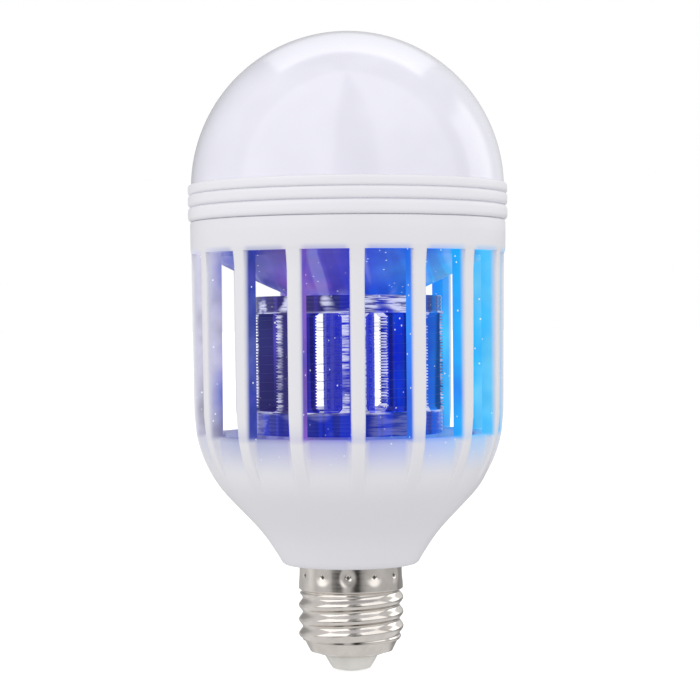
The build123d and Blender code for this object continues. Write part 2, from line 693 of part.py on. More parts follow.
def uv_board():
    """Strip inside the tube, standing on the socket's seat."""
    return Pos(0, 0, TUBE_SEAT) * block(STRIP_WIDTH, STRIP_THICK, STRIP_LENGTH)


def uv_leds():
    """Blue chips on both faces of the strip."""
    chip = block(UV_WIDTH, UV_HEIGHT, UV_LENGTH)
    out = (STRIP_THICK + UV_HEIGHT) / 2
    return Compound(
        children=[
            Pos(0, side * out, TUBE_SEAT + UV_FIRST_RISE + UV_STEP * index) * chip
            for side in (-1, 1)
            for index in range(UV_COUNT)
        ]
    )


def driver_board():
    """Round board on the ledge in the bowl."""
    return rod(BOARD_RADIUS, BOARD_Z, BOARD_TOP)


def step_up_transformer():
    """Small ferrite core with its winding, on the top of the board."""
    inner_length, inner_height = CORE_LENGTH - 2 * CORE_WALL, CORE_HEIGHT - 2 * CORE_WALL
    core = block(CORE_LENGTH, CORE_DEPTH, CORE_HEIGHT)
    core -= Pos(0, 0, CORE_WALL) * block(inner_length, 2 * CORE_DEPTH, inner_height)
    core += block(CORE_DEPTH / 2, CORE_DEPTH, CORE_HEIGHT)
    winding = block(inner_length - FIT, WINDING_DEPTH, inner_height - FIT)
    winding = Pos(0, 0, CORE_WALL + FIT) * fillet(winding.edges().filter_by(Axis.Z), WINDING_ROUND)
    base = block(CORE_LENGTH - 1, WINDING_DEPTH - 1, CORE_WALL + FIT)
    return Pos(TRANSFORMER_INSET - BOARD_RADIUS, TRANSFORMER_Y, BOARD_TOP) * (core + winding + base)


def smoothing_capacitor():
    """Electrolytic can that hangs under the board into the neck."""
    can = rod(CAN_RADIUS, BOARD_Z - CAN_LENGTH, BOARD_Z)
    can = fillet(can.edges().group_by(Axis.Z)[0], CAN_EDGE)
    groove = Pos(0, 0, BOARD_Z - CAN_LENGTH / 6) * Torus(CAN_RADIUS + CAN_EDGE / 2, CAN_EDGE)
    return Pos(0, CAN_Y, 0) * (can - groove)


def film_capacitors():
    """Three box capacitors of the voltage ladder."""
    box = block(FILM_LENGTH, FILM_DEPTH, FILM_HEIGHT)
    box = fillet(box.edges().group_by(Axis.Z)[-1], FILM_EDGE)
    first = Pos(BOARD_RADIUS - FILM_INSET, FILM_Y, BOARD_TOP)
    return Compound(children=[first * Pos(0, FILM_STEP * index, 0) * box for index in range(FILM_COUNT)])


def bridge_rectifier():
    """Flat rectifier block."""
    body = block(BRIDGE_LENGTH, BRIDGE_DEPTH, BRIDGE_HEIGHT)
    body = chamfer(body.edges().group_by(Axis.Z)[-1], BRIDGE_EDGE)
    return Pos(BRIDGE_X, BRIDGE_INSET - BOARD_RADIUS, BOARD_TOP) * body


def axial_part(length, radius, span):
    """A round part lying on the board on two bent legs."""
    lift = radius + 0.5
    body = Rot(0, 90, 0) * Cylinder(radius, length)
    body = fillet(body.edges(), radius * 0.3)
    side = span / 2
    wire = FilletPolyline((-side, 0, -lift), (-side, 0, 0), (side, 0, 0), (side, 0, -lift), radius=LEG_BEND)
    leg = sweep(Plane(origin=wire @ 0, z_dir=wire % 0) * RegularPolygon(LEG_RADIUS, 6), wire)
    return Pos(0, 0, BOARD_TOP + lift) * (body + leg)


def fuse_resistor():
    """Resistor in the live side of the supply."""
    place = Pos(FUSE_INSET_X - BOARD_RADIUS, FUSE_INSET_Y - BOARD_RADIUS, 0)
    return place * axial_part(FUSE_LENGTH, FUSE_RADIUS, FUSE_SPAN)


def multiplier_diodes():
    """Diodes of the voltage ladder."""
    diode = axial_part(DIODE_LENGTH, DIODE_RADIUS, DIODE_SPAN)
    last = Pos(DIODE_X, BOARD_RADIUS - DIODE_INSET, 0)
    return Compound(children=[last * Pos(0, -DIODE_STEP * index, 0) * diode for index in range(DIODE_COUNT)])


def lead(radius, bend, *points):
    """A round insulated wire along straight runs joined by arcs."""
    path = FilletPolyline(*points, radius=bend) if len(points) > 2 else Line(*points)
    return sweep(Plane(origin=path @ 0, z_dir=path % 0) * Circle(radius), path)


def live_lead():
    """From the centre rivet to the driver board."""
    return lead(
        LEAD_RADIUS,
        LIVE_BEND,
        (0, 0, RIVET_LENGTH),
        (0, 0, RIVET_LENGTH + LIVE_RUN),
        (LIVE_X, LIVE_Y, BOARD_Z - 1.5 * LIVE_RUN),
        (LIVE_X, LIVE_Y, BOARD_Z),
    )


def neutral_lead():
    """From the inside of the screw shell to the driver board."""
    return lead(
        LEAD_RADIUS,
        NEUTRAL_BEND,
        (-SHELL_BORE, 0, NEUTRAL_Z),
        (NEUTRAL_INSET - SHELL_BORE, 0, NEUTRAL_Z),
        (NEUTRAL_INSET - SHELL_BORE, 0, BOARD_Z),
    )


def led_leads():
    """Two wires from the driver board up the tube to the LED plate."""
    pad = PLATE_HOLE + LED_LEAD_REACH
    top = PLATE_TOP + LED_LEAD_RISE
    return Compound(
        children=[
            lead(
                LEAD_RADIUS,
                LED_BEND,
                (side * LED_LEAD_X, LED_LEAD_Y, BOARD_TOP),
                (side * LED_LEAD_X, LED_LEAD_Y, top),
                (side * pad, LED_LEAD_Y, top),
                (side * pad, LED_LEAD_Y, PLATE_TOP),
            )
            for side in (-1, 1)
        ]
    )


def span_radius(reach):
    """How far from the axis a coil runs, half way between two fins."""
    corner = Vector(FIN_WIDTH / 2, reach)
    corner_angle = atan2(corner.X, corner.Y)
    return corner.length * cos(radians(FIN_STEP / 2) - corner_angle)


def grid_lead(span, reach, side, *run):
    """A wire up from the driver board that turns in to one coil, half way between two fins."""
    height = turn_height(span + 0.5, 0)
    tip = span_radius(reach) + side * (WIRE / 2 + WIRE_FIT)
    points = [(0, -radius, z) for radius, z in run + ((run[-1][0], height), (tip, height))]
    return around(grid_lead_angle(span)) * lead(GRID_LEAD_RADIUS, GRID_BEND, *points)


def grid_lead_angle(span):
    """The angle half way between two fins."""
    return BAR_STEP / 2 + FIN_STEP * (span + 0.5)


def grid_leads():
    """Two wires from the driver board through the plinth to the foot of the outer and the inner coil."""
    pad_radius = BOARD_RADIUS - PAD_INSET
    outer = grid_lead(
        OUTER_LEAD_SPAN,
        OUTER_REACH,
        1,
        (pad_radius, BOARD_TOP),
        (pad_radius, BOARD_TOP + LEAD_STRAIGHT),
        (OUTER_LEAD_RADIUS, FLOOR_Z - LEAD_STRAIGHT),
    )
    inner = grid_lead(INNER_LEAD_SPAN, INNER_REACH, -1, (INNER_LEAD_RADIUS, BOARD_TOP))
    return Compound(children=[outer, inner])


PIECES = {
    "diffuser_dome": diffuser_dome,
    "led_housing": led_housing,
    "led_plate": led_plate,
    "led_chips": led_chips,
    "led_plate_screws": led_plate_screws,
    "ceiling_cone": ceiling_cone,
    "cage_shell": cage_shell,
    "grid_former": grid_former,
    "grid_wire_outer": grid_wire_outer,
    "grid_wire_inner": grid_wire_inner,
    "uv_tube": uv_tube,
    "uv_board": uv_board,
    "uv_leds": uv_leds,
    "chamber_floor": chamber_floor,
    "floor_screws": floor_screws,
    "driver_board": driver_board,
    "step_up_transformer": step_up_transformer,
    "smoothing_capacitor": smoothing_capacitor,
    "film_capacitors": film_capacitors,
    "bridge_rectifier": bridge_rectifier,
    "fuse_resistor": fuse_resistor,
    "multiplier_diodes": multiplier_diodes,
    "live_lead": live_lead,
    "neutral_lead": neutral_lead,
    "led_leads": led_leads,
    "grid_leads": grid_leads,
    "screw_shell": screw_shell,
    "cap_insulator": cap_insulator,
    "centre_contact": centre_contact,
}


def main():
    os.makedirs("parts", exist_ok=True)
    for name, make in PIECES.items():
        piece = make()
        if not hasattr(piece, "wrapped"):
            piece = Compound(children=list(piece))
        piece.label = name
        export_step(piece, f"parts/{name}.step")


if __name__ == "__main__":
    main()
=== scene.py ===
"""Looks of the insect killer light bulb, laid out as an add-on and run as a script.

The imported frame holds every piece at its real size. The visible ones are modelled again here with finer
forms, and the others keep their solids and get a finish. Lengths are millimetres until MM makes them metres.
+Z runs up the lamp's axis, and angles round it start at +X.
"""

from math import asin, atan2, cos, degrees, hypot, pi, radians, sin, sqrt

import bpy
from mathutils import Matrix, Vector


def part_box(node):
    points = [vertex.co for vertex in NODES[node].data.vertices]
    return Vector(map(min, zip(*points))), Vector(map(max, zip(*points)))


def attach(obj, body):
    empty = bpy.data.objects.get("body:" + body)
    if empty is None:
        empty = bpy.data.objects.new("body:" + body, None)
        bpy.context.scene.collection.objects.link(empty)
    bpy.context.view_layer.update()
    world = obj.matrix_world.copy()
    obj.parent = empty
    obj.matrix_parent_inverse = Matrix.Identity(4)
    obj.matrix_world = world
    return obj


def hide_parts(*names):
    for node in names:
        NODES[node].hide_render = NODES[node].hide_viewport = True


bl_info = {
    "name": "Insect killer light bulb",
    "version": (1, 0, 0),
    "blender": (4, 5, 0),
    "location": "View3D > Sidebar > Lamp",
    "description": "Models the lamp's visible pieces over its frame and lights them for a product picture",
    "category": "Object",
}

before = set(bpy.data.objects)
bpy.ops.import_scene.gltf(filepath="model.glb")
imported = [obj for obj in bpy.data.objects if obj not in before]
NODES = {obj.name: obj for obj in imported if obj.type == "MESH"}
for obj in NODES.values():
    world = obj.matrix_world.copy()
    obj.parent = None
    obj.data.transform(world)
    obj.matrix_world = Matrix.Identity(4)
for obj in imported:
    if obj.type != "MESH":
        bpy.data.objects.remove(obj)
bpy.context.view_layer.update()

MM = 0.001
ROOT = "root"

# The camera stands this far round from -Y, and the glow changes from its left to its right
VIEW_AZIMUTH = radians(8.1)


def top_of(node):
    """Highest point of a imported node, in millimetres."""
    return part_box(node)[1].z / MM


def foot_of(node):
    """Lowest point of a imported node, in millimetres."""
    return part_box(node)[0].z / MM


def reach_of(node):
    """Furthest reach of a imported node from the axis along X, in millimetres."""
    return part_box(node)[1].x / MM


# Heights and radii of the lamp, as the frame has them
BAND_TOP = top_of("cage_shell")
COLLAR_TOP = top_of("led_housing")
CHAMBER_FLOOR = foot_of("chamber_floor")
SILL = CHAMBER_FLOOR + 4.1
LINTEL = BAND_TOP - 8.05
NECK = top_of("screw_shell")
FORMER_FOOT = foot_of("grid_former")
FORMER_TOP = top_of("grid_former")
FORMER_RADIUS = reach_of("grid_former")
BAND_RADIUS = reach_of("cage_shell")

# Outside of the cage: radius and rise above the neck, up to the lintel
CAGE_RISES = (
    (17.0, 0.0), (17.9, 1.6), (19.1, 3.5), (21.0, 6.4), (23.2, 9.2), (25.5, 11.7), (27.7, 14.0), (29.9, 16.3),
    (32.2, 18.9), (34.5, 22.2), (36.5, 26.1), (37.9, 30.0), (38.75, 33.9), (39.1, 37.5), (39.2, 43.0),
)
CAGE_SIDE = [(radius, NECK + rise) for radius, rise in CAGE_RISES] + [(39.5, LINTEL)]
# Band, as insets from its radius with drops from its top, then with rises above the lintel
BAND_HEAD = ((0.5, 0.0), (0.15, 0.12), (0.0, 0.45), (0.0, 3.5))
BAND_FOOT = ((0.05, 1.0), (0.12, 0.45))
BAND_BORE = 37.65
LEDGE_THICK = 1.0
# Rounded foot of the neck and the inside of the bowl, as radius and rise above the neck
NECK_EDGE = ((16.75, 0.12), (16.3, 0.0))
BOWL_INSIDE = ((15.2, 2.0), (18.6, 6.4), (25.2, 14.0), (30.6, 20.5))
SPIGOT_RADIUS, SPIGOT_BORE, SPIGOT_LENGTH = 12.72, 10.7, 6.3
FLOOR_SEAT_INNER, FLOOR_SEAT_OUTER = 33.0, 35.0
WINDOW_ROWS, BOWL_ROWS = 9, 26

BAR_COUNT = 16
BAR_STEP = 2 * pi / BAR_COUNT
BAR_HALF = 1.8
BAR_ROUND = 0.85
BAR_SHOULDER = 0.35
BAR_INNER = 35.4
SILL_RECESS = 1.95
RECESS_FOOT = NECK + 19.0

COIL_PITCH = 2.2
COIL_TURNS = 10
TEETH_PER_TURN = 3

# How near points are merged, and how near two lengths count as the same
MERGE_REACH = 0.002
CLOSE = 0.01


def linear(red, green, blue):
    """A screen colour from 0 to 255 as linear light."""
    return tuple(
        value / 255 / 12.92 if value <= 10 else ((value / 255 + 0.055) / 1.055) ** 2.4
        for value in (red, green, blue)
    ) + (1.0,)


def length(name, description, default):
    """A length that a user would change."""
    return bpy.props.FloatProperty(name=name, description=description, default=default, unit="LENGTH")


def tint(name, description, default):
    """A colour that a user would change."""
    return bpy.props.FloatVectorProperty(
        name=name, description=description, default=default, size=4, subtype="COLOR"
    )


class LampSizes(bpy.types.PropertyGroup):
    """Sizes that a user would change."""

    dome_wall: length("Dome wall", "Wall of the milky dome", 1.6 * MM)
    comb_pitch: length("Comb pitch", "From one tooth to the next", COIL_PITCH / TEETH_PER_TURN * MM)
    wire: length("Wire", "Thickness of the bare coil wire", 0.05 * MM)
    thread_pitch: length("Thread pitch", "Climb of the cap's thread in one turn", 3.629 * MM)


class LampColours(bpy.types.PropertyGroup):
    """Colours that a user would change."""

    moulding: tint("Moulding", "White of the cage and the collar", (0.8, 0.795, 0.84, 1.0))
    dome: tint("Dome", "Milky white of the dome", (0.79, 0.785, 0.88, 1.0))
    glow: bpy.props.FloatProperty(
        name="Glow", description="Strength of the light inside the chamber", default=1.0, min=0.0, max=10.0
    )


def deselect():
    """Leave nothing selected, in object mode."""
    if bpy.context.object and bpy.context.object.mode != "OBJECT":
        bpy.ops.object.mode_set(mode="OBJECT")
    bpy.ops.object.select_all(action="DESELECT")


def pick(piece):
    """Select one piece alone and make it active."""
    deselect()
    bpy.context.view_layer.objects.active = piece
    piece.select_set(True)


def edit(piece):
    """Open one piece for editing, with nothing selected in it."""
    pick(piece)
    open_edit()
    bpy.ops.mesh.select_all(action="DESELECT")


def open_edit():
    bpy.ops.object.mode_set(mode="EDIT")


def close_edit():
    bpy.ops.object.mode_set(mode="OBJECT")


def select_whole():
    bpy.ops.mesh.select_all(action="SELECT")


def trace(name, points):
    """A line through points in millimetres, drawn from one vertex that is extruded to each of the next."""
    deselect()
    bpy.ops.mesh.primitive_plane_add(size=MM, location=(0, 0, 0))
    piece = bpy.context.object
    piece.name = name
    piece.data.name = name
    open_edit()
    bpy.ops.mesh.merge(type="CENTER")
    bpy.ops.transform.translate(value=Vector(points[0]) * MM)
    for here, there in zip(points, points[1:]):
        step = (Vector(there) - Vector(here)) * MM
        bpy.ops.mesh.extrude_vertices_move(TRANSFORM_OT_translate={"value": step})
    return piece


def draw(name, points):
    """A line in the XZ plane, through points given as radius and height."""
    return trace(name, [(radius, 0, height) for radius, height in points])


def face_outwards():
    """Turn all faces outwards and leave edit mode."""
    select_whole()
    bpy.ops.mesh.normals_make_consistent(inside=False)
    close_edit()


def finish_mesh():
    """Merge what spinning doubled, turn the faces outwards and leave edit mode."""
    select_whole()
    bpy.ops.mesh.remove_doubles(threshold=MERGE_REACH * MM)
    face_outwards()


def turn(name, points, steps=128, smooth=35):
    """A closed outline turned all round the axis."""
    piece = draw(name, list(points) + [points[0]])
    select_whole()
    bpy.ops.mesh.spin(steps=steps, angle=2 * pi, center=(0, 0, 0), axis=(0, 0, 1))
    finish_mesh()
    smooth_by(piece, smooth)
    return piece


def smooth_by(piece, angle):
    """Smooth shading that keeps edges sharper than an angle in degrees."""
    pick(piece)
    bpy.ops.object.shade_smooth_by_angle(angle=radians(angle))


def arc(centre, radius, start, end, steps):
    """Points on an arc round a height on the axis, between two angles in degrees."""
    angles = [radians(start + (end - start) * index / steps) for index in range(steps + 1)]
    return [(radius * cos(angle), centre + radius * sin(angle)) for angle in angles]


def smooth_step(value):
    value = min(max(value, 0.0), 1.0)
    return value * value * (3 - 2 * value)


def side_radius(height):
    """Radius of the cage's outer form at a height, on a smooth curve through its listed points."""
    points = CAGE_SIDE
    if height <= points[0][1]:
        return points[0][0]
    for index in range(len(points) - 1):
        (r1, z1), (r2, z2) = points[index], points[index + 1]
        if height <= z2:
            r0, z0 = points[max(index - 1, 0)]
            r3, z3 = points[min(index + 2, len(points) - 1)]
            slope1 = (r2 - r0) / (z2 - z0)
            slope2 = (r3 - r1) / (z3 - z1)
            span = z2 - z1
            t = (height - z1) / span
            return (
                (2 * t**3 - 3 * t**2 + 1) * r1
                + (t**3 - 2 * t**2 + t) * span * slope1
                + (-2 * t**3 + 3 * t**2) * r2
                + (t**3 - t**2) * span * slope2
            )
    return points[-1][0]


def recess(height):
    """How deep the bowl lies behind the bars at a height."""
    if height >= LINTEL:
        return 0.0
    if height >= SILL:
        return SILL_RECESS
    return SILL_RECESS * smooth_step((height - RECESS_FOOT) / (SILL - RECESS_FOOT))


class Nodes:
    """Builds one tree of nodes from named steps."""

    def __init__(self, owner, place):
        owner.use_nodes = True
        self.tree = owner.node_tree
        self.tree.nodes.clear()
        self.place = self.tree.nodes.new("ShaderNodeTexCoord").outputs[place]

    def put(self, socket, value):
        if isinstance(value, bpy.types.NodeSocket):
            self.tree.links.new(value, socket)
        elif value is not None:
            socket.default_value = value

    def node(self, kind, **settings):
        made = self.tree.nodes.new(kind)
        for key, value in settings.items():
            setattr(made, key, value)
        return made

    def fill(self, kind, *values, output=0, **settings):
        """One output of a new node, with its inputs filled in their order where the value isn't None."""
        made = self.node(kind, **settings)
        for socket, value in zip(made.inputs, values):
            self.put(socket, value)
        return made.outputs[output]

    def math(self, operation, *values, clamp=False):
        return self.fill("ShaderNodeMath", *values, operation=operation, use_clamp=clamp)

    def times(self, first, second):
        return self.math("MULTIPLY", first, second)

    def times_add(self, first, second, third, clamp=False):
        return self.math("MULTIPLY_ADD", first, second, third, clamp=clamp)

    def ramp_to(self, value, low, high, to_low=0.0, to_high=1.0):
        ends = (low, high, to_low, to_high)
        return self.fill("ShaderNodeMapRange", value, *ends, interpolation_type="SMOOTHSTEP")

    def fall(self, value, low, high):
        """One below a length and nothing above another, in millimetres."""
        return self.ramp_to(value, low * MM, high * MM, 1.0, 0.0)

    def rise(self, value, low, high):
        """Nothing below a length and one above another, in millimetres."""
        return self.ramp_to(value, low * MM, high * MM)

    def noise(self, scale, detail=2.0, roughness=0.5, place=None):
        return self.fill("ShaderNodeTexNoise", place or self.place, None, scale, detail, roughness)

    def colours(self, value, stops):
        made = self.node("ShaderNodeValToRGB")
        band = made.color_ramp
        while len(band.elements) > 1:
            band.elements.remove(band.elements[-1])
        band.elements[0].position, band.elements[0].color = stops[0][0], stops[0][1]
        for position, colour in stops[1:]:
            band.elements.new(position).color = colour
        self.put(made.inputs["Fac"], value)
        return made.outputs["Color"]

    def between(self, share, low, high):
        """A number part of the way from one to another."""
        return self.fill("ShaderNodeMix", share, None, low, high, data_type="FLOAT")

    def band(self, value, rise_from, rise_to, fall_from, fall_to):
        """One between two soft edges, and nothing outside them."""
        rise = self.ramp_to(value, rise_from, rise_to)
        return self.times(rise, self.ramp_to(value, fall_from, fall_to, 1.0, 0.0))

    def levels(self, value, stops):
        """A number from 0 to 2 for a value from 0 to 1."""
        halves = [(at, (level / 2, level / 2, level / 2, 1.0)) for at, level in stops]
        return self.times(self.colours(value, halves), 2.0)

    def mix(self, factor, first, second):
        """A colour part of the way from one to another."""
        numbers = (None,) * 5
        return self.fill("ShaderNodeMix", factor, *numbers, first, second, output=2, data_type="RGBA")

    def split(self, place=None):
        made = self.node("ShaderNodeSeparateXYZ")
        self.put(made.inputs[0], place or self.place)
        return made.outputs

    def polar(self):
        """Distance from the axis, angle round it and height."""
        x, y, z = self.split()
        radius = self.math("SQRT", self.math("ADD", self.times(x, x), self.times(y, y)))
        return radius, self.math("ARCTAN2", y, x), z

    def stretched(self, across, along):
        """The place, with one scale across the axis and another along it."""
        made = self.node("ShaderNodeCombineXYZ")
        for socket, value, scale in zip(made.inputs, self.split(), (across, across, along)):
            self.put(socket, self.times(value, scale))
        return made.outputs[0]

    def facing(self, scale=(1.0, 1.0, 1.0)):
        """The place, turned so that X runs to the photograph's right."""
        turn_back = (0, 0, -VIEW_AZIMUTH)
        return self.fill("ShaderNodeMapping", self.place, None, turn_back, scale, vector_type="POINT")

    def bump(self, height, strength, distance):
        return self.fill("ShaderNodeBump", strength, distance, None, height)


class Paint(Nodes):
    """One material, painted by place on the piece."""

    def __init__(self, name):
        self.material = bpy.data.materials.get(name) or bpy.data.materials.new(name)
        super().__init__(self.material, "Object")
        self.chosen = bpy.context.scene.lamp_colours
        self.out = self.node("ShaderNodeOutputMaterial")

    def surface(self, **values):
        shader = self.node("ShaderNodeBsdfPrincipled")
        for key, value in values.items():
            self.put(shader.inputs[key.replace("_", " ")], value)
        self.tree.links.new(shader.outputs[0], self.out.inputs[0])
        return self.material


# Screen colours of the light across the chamber, from the photograph's left to its right: on the walls, and
# deeper inside
GLOW_STOPS = (
    (0.00, 212, 210, 222), (0.08, 186, 184, 208), (0.15, 88, 100, 186), (0.21, 42, 60, 164),
    (0.29, 94, 84, 180), (0.37, 128, 84, 186), (0.44, 78, 68, 188), (0.52, 30, 50, 200),
    (0.62, 30, 92, 224), (0.74, 20, 132, 240), (0.86, 18, 176, 248), (1.00, 110, 206, 240),
)
DEEP_STOPS = (
    (0.00, 100, 108, 180), (0.15, 66, 84, 176), (0.24, 74, 70, 172), (0.33, 70, 54, 168), (0.42, 34, 40, 180),
    (0.52, 12, 30, 190), (0.62, 4, 38, 206), (0.72, 20, 80, 206), (0.84, 40, 124, 216), (1.00, 110, 206, 240),
)
GLOW_REACH = 40 * MM
SPARK_SCALE = 400.0


def glow_nodes(paint, dark=0.0, stops=GLOW_STOPS):
    """Colour of the chamber's light, as painted glow on the walls that it falls on and as the lamps' own
    glow: violet on the left to blue and cyan on the right, in slow clouds of painted shade with a few painted
    glints.
    """
    turned = paint.facing()
    share = paint.times_add(paint.split(turned)[0], 0.5 / GLOW_REACH, 0.5)
    drift = paint.times_add(paint.noise(55.0, 3.0, 0.55), 0.36, -0.18)
    drift = paint.times(drift, paint.ramp_to(share, 0.06, 0.18, 0.2, 1.0))
    screens = [(at, linear(*screen)) for at, *screen in stops]
    colour = paint.colours(paint.math("ADD", share, drift, clamp=True), screens)
    least = paint.times_add(share, 0.55, 0.42 - dark)
    # Painted shade: slow clouds that darken the glow, less towards the right
    depth = paint.noise(38.0, 4.0, 0.6, turned)
    shade = paint.ramp_to(depth, 0.32, 0.68, least, 1.12 - dark)
    shaded = paint.fill("ShaderNodeVectorMath", colour, None, None, shade, operation="SCALE")
    # Painted glints: a few pale specks of light scattered over the surface
    cells = paint.fill("ShaderNodeTexVoronoi", paint.place, None, SPARK_SCALE)
    spark = paint.ramp_to(cells, 0.06, 0.12, 1.0, 0.0)
    return paint.mix(paint.times(spark, 0.85), shaded, (0.9, 0.95, 1.0, 1.0))


def finish_with(piece, material):
    """Give a piece one finish."""
    piece.data.materials.clear()
    piece.data.materials.append(material)


def seat(piece, material, slot, *nodes):
    """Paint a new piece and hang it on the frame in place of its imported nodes."""
    finish_with(piece, material)
    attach(piece, ROOT)
    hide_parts(*nodes)


def moulding_paint(name="white_moulding", tone=1.0):
    """White semi-gloss moulding with the chamber's light painted on as glow: over its inner side, and
    spilling from each window onto the moulding just below and above it.
    """
    paint = Paint(name)
    radius, angle, z = paint.polar()
    # Painted light: glow on the inner faces of the bars within the chamber, and a paler spill of it between
    # the bars just below the sill and above the lintel
    inside = paint.fall(radius, 37.6, 39.1)
    chamber = paint.band(z, (SILL - 1.5) * MM, (SILL + 0.5) * MM, (LINTEL + 0.2) * MM, (LINTEL + 1.5) * MM)
    bars = paint.times(inside, chamber)
    between = paint.math("COSINE", paint.times(angle, float(BAR_COUNT)))
    below = paint.times(paint.rise(z, SILL - 10.0, SILL + 1.5), paint.fall(z, SILL, SILL + 1.0))
    below = paint.times(below, 0.75)
    above = paint.band(z, (LINTEL - 0.5) * MM, LINTEL * MM, LINTEL * MM, (LINTEL + 1.6) * MM)
    spill = paint.times(paint.ramp_to(between, -0.9, -0.2), paint.times_add(above, 0.5, below))
    painted_glow_mask = paint.math("MAXIMUM", bars, spill)
    pale = paint.times(paint.math("SUBTRACT", 1.0, bars), 0.4)
    glow = paint.mix(pale, glow_nodes(paint), linear(190, 204, 236))
    white = tuple(value * tone for value in paint.chosen.moulding[:3]) + (1.0,)
    # Under the painted glow the white gives way to near black, so that only the painted light shows
    base = paint.mix(painted_glow_mask, white, (0.02, 0.02, 0.06, 1.0))
    waves = paint.noise(90.0, 2.0, 0.5)
    height = paint.math("ADD", paint.times(paint.noise(2600.0, 2.0, 0.6), 0.25), waves)
    return paint.surface(
        Base_Color=base,
        Roughness=paint.ramp_to(waves, 0.3, 0.7, 0.34, 0.44),
        Specular_IOR_Level=0.45,
        Emission_Color=glow,
        Emission_Strength=paint.times(painted_glow_mask, paint.chosen.glow),
        Normal=paint.bump(height, 0.08, 0.2 * MM),
    )


def plain_paint(name, colour, roughness, metallic=0.0, specular=0.5, grain=900.0, bump=0.05):
    """A finish of one colour, with fine grain and a slight change of tone."""
    paint = Paint(name)
    tone = paint.noise(120.0, 3.0, 0.5)
    darker = tuple(value * 0.82 for value in colour[:3]) + (1.0,)
    return paint.surface(
        Base_Color=paint.mix(paint.ramp_to(tone, 0.3, 0.7), darker, tuple(colour[:3]) + (1.0,)),
        Roughness=paint.ramp_to(tone, 0.3, 0.7, roughness * 0.85, roughness * 1.15),
        Metallic=metallic,
        Specular_IOR_Level=specular,
        Normal=paint.bump(paint.noise(grain, 2.0, 0.6), bump, 0.1 * MM),
    )


def dome_paint():
    """Glossy milky plastic, faintly violet."""
    paint = Paint("milky_dome")
    cloud = paint.noise(60.0, 2.0, 0.5)
    base = tuple(paint.chosen.dome)
    pale = tuple(min(value * 1.05, 1.0) for value in base[:3]) + (1.0,)
    return paint.surface(
        Base_Color=paint.mix(paint.ramp_to(cloud, 0.3, 0.7), base, pale),
        Roughness=0.15,
        Specular_IOR_Level=0.5,
        Coat_Weight=0.35,
        Coat_Roughness=0.05,
        Normal=paint.bump(paint.noise(35.0, 1.0, 0.4), 0.02, 0.3 * MM),
    )


def lit_paint(name, gloss, dark, strength, body=(0.03, 0.03, 0.08, 1.0)):
    """Plastic inside the chamber, washed with its violet to cyan light."""
    paint = Paint(name)
    glow = glow_nodes(paint, dark, DEEP_STOPS)
    return paint.surface(
        Base_Color=body,
        Roughness=gloss,
        Specular_IOR_Level=0.6,
        Emission_Color=glow,
        Emission_Strength=strength * paint.chosen.glow,
        Normal=paint.bump(paint.noise(400.0, 2.0, 0.5), 0.06, 0.15 * MM),
    )


def reflector_paint(name, grey=0.06):
    """Satin plastic that closes the chamber, with its light painted on as glow, a few paler bands of painted
    reflection and darker bands of painted shade.
    """
    paint = Paint(name)
    # Painted reflections: pale bands across the glow; painted shade: darker violet bands beside them; the
    # base stays near black so that the painted glow shows
    bands = paint.noise(1.0, 1.0, 0.4, paint.facing((230.0, 14.0, 14.0)))
    pale = paint.ramp_to(bands, 0.5, 0.62, 0.0, 0.22)
    glow = paint.mix(pale, glow_nodes(paint, 0.06), (0.55, 0.6, 1.0, 1.0))
    glow = paint.mix(paint.ramp_to(bands, 0.34, 0.46, 0.3, 0.0), glow, linear(20, 10, 120))
    glow = paint.mix(grey, glow, linear(92, 92, 146))
    return paint.surface(
        Base_Color=(0.05, 0.05, 0.12, 1.0),
        Roughness=0.38,
        Specular_IOR_Level=0.4,
        Emission_Color=glow,
        Emission_Strength=0.95 * paint.chosen.glow,
        Normal=paint.bump(paint.noise(500.0, 2.0, 0.5), 0.05, 0.15 * MM),
    )


